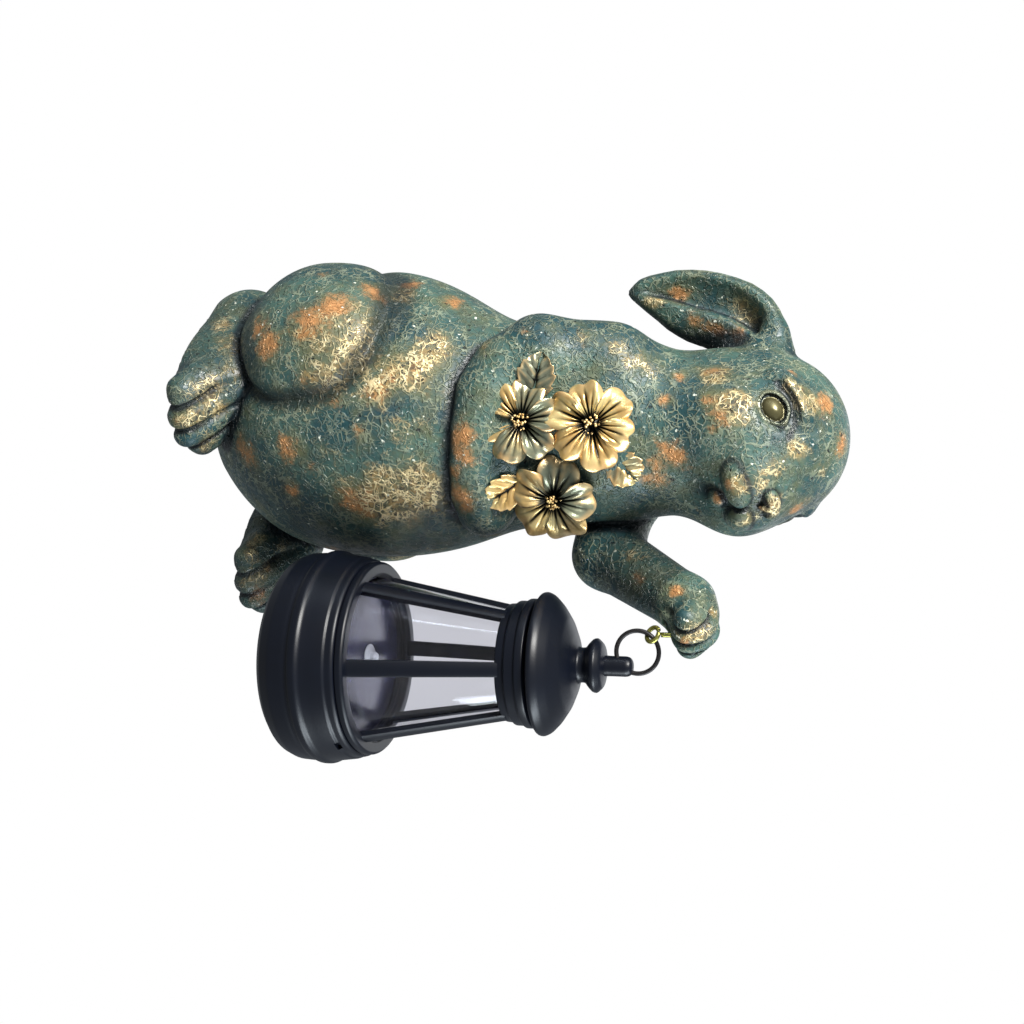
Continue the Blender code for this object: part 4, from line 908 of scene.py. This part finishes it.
def leaf(base, out, up, side, length, half, seed, tone):
    """A pointed leaf with teeth, a middle vein and side veins."""
    rng = np.random.default_rng(seed)
    nu, nv = 44, 27
    ph = rng.uniform(0, 6.3)
    u, w = np.meshgrid(np.linspace(0, 1, nu), np.linspace(-1, 1, nv), indexing="ij")
    saw = (u * 4.5) % 1.0
    width = half * np.sin(np.pi * np.clip(0.06 + u * 0.94, 0, 1) ** 0.72) ** 0.8 * (1 + 0.20 * (saw - 0.5)) + 0.15
    x = u * length + 2.2 * np.abs(w) * np.sin(np.pi * u)
    veins = np.cos(2 * np.pi * (u * 4.5 - np.abs(w) * 1.1))
    z = length * (0.20 * np.sin(u * 2.4) - 0.10 * u ** 2) - 1.5 * np.exp(-(w / 0.13) ** 2) * np.sin(np.pi * np.clip(u, 0.02, 0.98)) ** 0.5
    z += 0.34 * veins * np.abs(w) ** 0.5 * (1 - 0.5 * np.abs(w)) + 0.8 * np.cos(w * 3 + ph) * u + 0.9 * w * w
    top = base + x[..., None] * out + (w * width)[..., None] * side + z[..., None] * up
    thick = (1.6 - 0.8 * u) * np.clip(1.02 - np.abs(w) ** 6 * 0.6, 0.2, 1)
    # painted shade: dark along the middle vein, in the vein troughs and at the stalk
    deep_shade = 0.85 * np.exp(-(w / 0.10) ** 2) + 0.65 * np.clip(-veins, 0, 1) ** 4 * (1 - 0.6 * np.abs(w)) + np.clip(0.5 - u * 3, 0, 1)
    rim = np.clip((np.abs(w) - 0.80) * 6, 0, 1) + 0.55 * np.clip(veins, 0, 1) ** 2
    return shell(top, up, thick, deep_shade, rim, tone)


def blob(centre, radii, turn=np.eye(3), nu=10, nv=8):
    vs, fs = [], []
    for i in range(nv + 1):
        t = math.pi * i / nv
        for k in range(nu):
            s = 2 * math.pi * k / nu
            vs.append(np.asarray(centre) + turn @ (np.array([math.sin(t) * math.cos(s), math.sin(t) * math.sin(s), math.cos(t)]) * radii))
    for i in range(nv):
        for k in range(nu):
            fs.append([i * nu + k, (i + 1) * nu + k, (i + 1) * nu + (k + 1) % nu, i * nu + (k + 1) % nu])
    return vs, fs


for fi, (c, nn, r, petals, first) in enumerate(FLOWERS):
    c, nn = np.array(c), np.array(nn) / np.linalg.norm(nn)
    e1 = np.cross((0, 0, 1.0), nn)
    e1 /= np.linalg.norm(e1)
    e2 = np.cross(nn, e1)
    vs, fs, hs, rs, ts = [], [], [], [], []

    def take(a, b, h1, r1, t1):
        fs.extend([[i + len(vs) for i in q] for q in b])
        vs.extend(tuple(q) for q in a)
        hs.extend(h1)
        rs.extend(r1)
        ts.extend(t1)

    rng = np.random.default_rng(5 + fi)
    for i in range(petals):
        t = math.radians(first + 360 * i / petals + rng.uniform(-4, 4))
        o = e1 * math.cos(t) + e2 * math.sin(t)
        sd = np.cross(nn, o)
        tone = (0.07, 0.66 + 0.36 * math.sin(t) + 0.10 * math.cos(t), 0.56 + 0.30 * math.sin(t) - 0.24 * math.cos(t))[fi]
        take(*petal(c + nn * (0.2 + 1.7 * (i % 2)), o, nn, sd, r * rng.uniform(0.95, 1.07), math.pi / petals * 1.17, 100 * fi + i, tone))
    # stamens with stalks painted dark as shade under their bright tips; after them the centre disc, painted dark as
    # shade
    for i in range(26):
        t, q = rng.uniform(0, 2 * math.pi), rng.uniform(0, 1) ** 0.6 * 3.3
        tip = c + nn * (5.4 - 0.22 * q * q + rng.uniform(-0.7, 0.7)) + (e1 * math.cos(t) + e2 * math.sin(t)) * q * 1.25
        a, b = tube([c + nn * 0.2 + (tip - c - nn * 3) * 0.3, (c + tip) / 2 + nn * 0.6, tip], 0.40, 6)
        take(a, b, [0.75] * len(a), [0.0] * len(a), [0.3] * len(a))
        a, b = blob(tip, (0.62, 0.62, 0.62), nu=7, nv=5)
        take(a, b, [0.0] * len(a), [0.75] * len(a), [0.1] * len(a))
    a, b = tube([c - nn * 8, c + nn * 1.0], 5.0, 20)
    take(a, b, [0.95] * len(a), [0] * len(a), [0.5] * len(a))
    piece(f"flower_{fi + 1}", vs, fs, GOLD, "patina_resin", values={"shade_and_wash": hs, "rim": rs, "tone": ts})

for li, (stem, tip, nn, half) in enumerate(LEAVES):
    stem, tip = np.array(stem), np.array(tip)
    o = (tip - stem) / np.linalg.norm(tip - stem)
    nn = np.array(nn) - o * (np.array(nn) @ o)
    nn /= np.linalg.norm(nn)
    a, b, h1, r1, t1 = leaf(stem, o, nn, np.cross(nn, o), np.linalg.norm(tip - stem) * 1.12, half, 900 + li, (0.45, 0.85, 0.15)[li])
    piece(f"leaf_{li + 1}", a, b, GOLD, "patina_resin", values={"shade_and_wash": h1, "rim": r1, "tone": t1})

# ---------------------------------------------------------------- hook, ring and lantern
AX = np.array([49.2, -112.9])
ACROSS, VIEW = np.array([0.7071, -0.7071, 0]), np.array([-0.7071, -0.7071, 0])
UP = np.array([0, 0, 1.0])
RING_C, RING_R = np.array([43.9, -109.0, 210.8]), 9.2
t = np.arange(96) * 2 * np.pi / 96
piece("ring", *tube(RING_C + RING_R * (np.cos(t)[:, None] * ACROSS + np.sin(t)[:, None] * UP), 1.0, 14, closed=True), WIRE, "black_wire", ("hanging_ring",))
eye_c = RING_C + ACROSS * -7.75 + UP * 6.6
axis = ACROSS * 0.65 * 0.72 + UP * 0.76 * 0.72 + VIEW * -0.69
axis /= np.linalg.norm(axis)
hu = UP - axis * (UP @ axis)
hu /= np.linalg.norm(hu)
hv = np.cross(axis, hu)
t = np.linspace(0, 2 * np.pi * 0.94, 60)
loop = eye_c + 3.3 * (np.cos(t)[:, None] * hu + np.sin(t)[:, None] * hv)
shank = [np.array([eye_c[0], eye_c[1], z]) for z in np.linspace(231.6, eye_c[2] + 3.6, 10)]
piece("hook", *joined([tube(loop, 1.0, 14), tube(shank, 1.1, 14)]), BRASS, "brass_hook", ("paw_hook",))

roof = rounded([(0, 197), (5.0, 196.8), (9.5, 195.8), (11.9, 193.2), (11.6, 191.6), (9.6, 189.6), (7.6, 188.2), (7.6, 185.2), (13.5, 183.6),
                (20.5, 180.6), (26.5, 176.6), (30.4, 172.9), (31.5, 170.6), (31.2, 168.9), (27.0, 167.6), (27.0, 169.2), (22.5, 174.5),
                (14.0, 179.0), (0, 181)], 1.2, 4)
stud = rounded([(0, 209), (2.4, 208.7), (3.8, 207.8), (4.4, 206.2), (4.4, 199), (4.6, 195), (0, 195)], 0.8, 3)
piece("roof", *joined([turned(roof, AX, 128), turned(stud, AX, 64)]), BLACK, "black_plastic", ("lantern_roof",))
band = rounded([(26.6, 167.2), (28.4, 166.4), (28.4, 163.2), (27.4, 162.4), (27.4, 158.4), (26.2, 157.4), (26.0, 154.0), (23.9, 153.4), (23.9, 167.2)], 0.5, 3, True)
foot = rounded([(42.8, 92.2), (43.8, 91.2), (43.8, 88.6), (36.6, 88.6), (36.6, 90.4), (38.4, 92.2)], 0.5, 3, True)
parts = [turned(band, AX, 128), turned(foot, AX, 128)]
for i in range(6):
    a = math.radians(225 + 60 * i)
    o, sd = np.array([math.cos(a), math.sin(a), 0]), np.array([-math.sin(a), math.cos(a), 0])
    rings = []
    for rr, z, half in ((24.75, 155.5, 3.1), (38.4, 90.2, 3.75)):
        c = np.array([AX[0], AX[1], z])
        prof = [(-1.3, -half), (0.9, -half), (1.5, -half * 0.72), (1.5, half * 0.72), (0.9, half), (-1.3, half)]
        rings.append([c + o * (rr + x) + sd * y for x, y in prof])
    vs = [tuple(q) for r_ in rings for q in r_]
    fs = [[k, (k + 1) % 6, 6 + (k + 1) % 6, 6 + k] for k in range(6)] + [list(range(6))[::-1], list(range(6, 12))]
    parts.append((vs, fs))
cage = piece("cage", *joined(parts), BLACK, "black_plastic_cage", ("lantern_cage",))
cage.data.polygons.foreach_set("use_smooth", np.ones(len(cage.data.polygons), bool))
cage.data.set_sharp_from_angle(angle=math.radians(35))
glass = [(22.6, 157.0), (35.9, 91.2), (35.9, 86.4), (34.4, 86.4), (34.4, 90.8), (21.1, 157.0)]
gl = piece("pane", *turned(glass, AX, 128), PANE, "clear_glass", ("lantern_glass",))
gl.data.set_sharp_from_angle(angle=math.radians(35))
base = rounded([(0, 53.0), (38.0, 53.0), (42.6, 57.5), (43.4, 66.0), (43.4, 80.0), (35.2, 80.0), (35.2, 83.4), (38.4, 83.4), (38.4, 88.3),
                (44.2, 88.3), (45.0, 87.2), (45.2, 84.6), (46.0, 83.8), (47.0, 77.0), (47.6, 73.6), (48.8, 72.2), (48.8, 69.2), (47.4, 67.6),
                (47.7, 65.4), (47.4, 59.0), (45.4, 54.2), (41.5, 51.0), (38.0, 50.2), (0, 50.2)], 0.9, 4)
b = piece("base", *turned(base, AX, 144), BLACK, "black_plastic_base", ("lantern_base",))
# the small slot under the base's rim
bpy.ops.mesh.primitive_cube_add(size=1.0)
cutter = bpy.context.object
a = math.radians(276)
cutter.location = Vector((AX[0] + 46.2 * math.cos(a) + OFF[0], AX[1] + 46.2 * math.sin(a) + OFF[1], 84.0)) * MM
cutter.rotation_euler = (0, 0, a)
cutter.scale = (4.4 * MM, 5.6 * MM, 2.2 * MM)
mod = b.modifiers.new("Slot", "BOOLEAN")
mod.object, mod.operation, mod.solver = cutter, "DIFFERENCE", "EXACT"
bpy.ops.object.select_all(action="DESELECT")
bpy.context.view_layer.objects.active = b
b.select_set(True)
bpy.ops.object.modifier_apply(modifier=mod.name)
bpy.data.objects.remove(cutter)
piece("panel", *turned(rounded([(0, 86.0), (37.4, 86.0), (38.0, 85.4), (38.0, 83.7), (0, 83.7)], 0.2, 2), AX, 96), CELL, "solar_cell", ("solar_panel",))
piece("lamp", *turned(rounded([(0, 91.0), (1.6, 90.6), (2.5, 89.4), (2.6, 87.6), (5.2, 87.4), (6.0, 86.9), (6.0, 86.3), (0, 86.3)], 0.3, 3), AX, 48), LAMP, "clear_led", ("led_lamp",))
for name in ("roof", "base", "panel", "lamp"):
    bpy.data.objects[name].data.set_sharp_from_angle(angle=math.radians(40))

# ---------------------------------------------------------------- camera and light
right, depth = Vector((math.cos(math.radians(-45)), math.sin(math.radians(-45)), 0)), Vector((math.sin(math.radians(45)), math.cos(math.radians(45)), 0))
pitch = math.radians(16.0)
fwd = depth * math.cos(pitch) - Vector((0, 0, 1)) * math.sin(pitch)
up = depth * math.sin(pitch) + Vector((0, 0, 1)) * math.cos(pitch)
cam = bpy.data.cameras.new("camera")
cam.sensor_width, cam.lens = 36.0, 1150.0 / 1024.0 * 36.0
cam.clip_start, cam.clip_end = 0.01, 20.0
co = bpy.data.objects.new("camera", cam)
mat = Matrix((up, -right, -fwd)).transposed().to_4x4()
mat.translation = right * 0.048 - depth * 0.535 + Vector((0, 0, 0.295)) + Vector(OFF) * MM
co.matrix_world = mat
bpy.context.scene.collection.objects.link(co)
bpy.context.scene.camera = co

scene = bpy.context.scene
scene.view_settings.view_transform = "Standard"
world = bpy.data.worlds.new("studio")
scene.world = world
world.use_nodes = True
wt = world.node_tree
bg = wt.nodes["Background"]
bg.inputs[0].default_value = (0.80, 0.86, 0.92, 1)
bg.inputs[1].default_value = 0.31
bg2 = wt.nodes.new("ShaderNodeBackground")
bg2.inputs[0].default_value = (1, 1, 1, 1)
bg2.inputs[1].default_value = 1.0
mix = wt.nodes.new("ShaderNodeMixShader")
path = wt.nodes.new("ShaderNodeLightPath")
through = wt.nodes.new("ShaderNodeMath")
through.operation = "MULTIPLY_ADD"
through.inputs[1].default_value = 0.62
wt.links.new(path.outputs["Is Transmission Ray"], through.inputs[0])
wt.links.new(path.outputs["Is Camera Ray"], through.inputs[2])
wt.links.new(through.outputs[0], mix.inputs[0])
wt.links.new(bg.outputs[0], mix.inputs[1])
wt.links.new(bg2.outputs[0], mix.inputs[2])
wt.links.new(mix.outputs[0], wt.nodes["World Output"].inputs[0])

target = Vector(OFF) * MM + Vector((0.0, 0.0, 0.15))


def softbox(name, place, size, power, colour=(1, 1, 1)):
    li = bpy.data.lights.new(name, "AREA")
    li.shape, li.size, li.size_y, li.energy, li.color = "RECTANGLE", size[0], size[1], power, colour
    ob = bpy.data.objects.new(name, li)
    ob.location = target + place
    ob.rotation_euler = (-place).to_track_quat("-Z", "Y").to_euler()
    scene.collection.objects.link(ob)


Z = Vector((0, 0, 1))
softbox("key", right * -0.55 - depth * 0.65 + Z * 0.75, (0.36, 0.36), 28.5, (1.0, 0.98, 0.94))
softbox("rim", right * 0.95 - depth * 0.22 + Z * 0.30, (0.35, 0.8), 12.0, (0.84, 0.93, 1.0))

softbox("strip", right * -0.85 - depth * 0.35 + Z * 0.25, (0.05, 0.9), 2.4, (0.80, 0.90, 1.0))
softbox("back", depth * 0.95 + right * 0.15 + Z * 0.45, (0.8, 0.8), 2.2, (0.95, 0.97, 1.0))
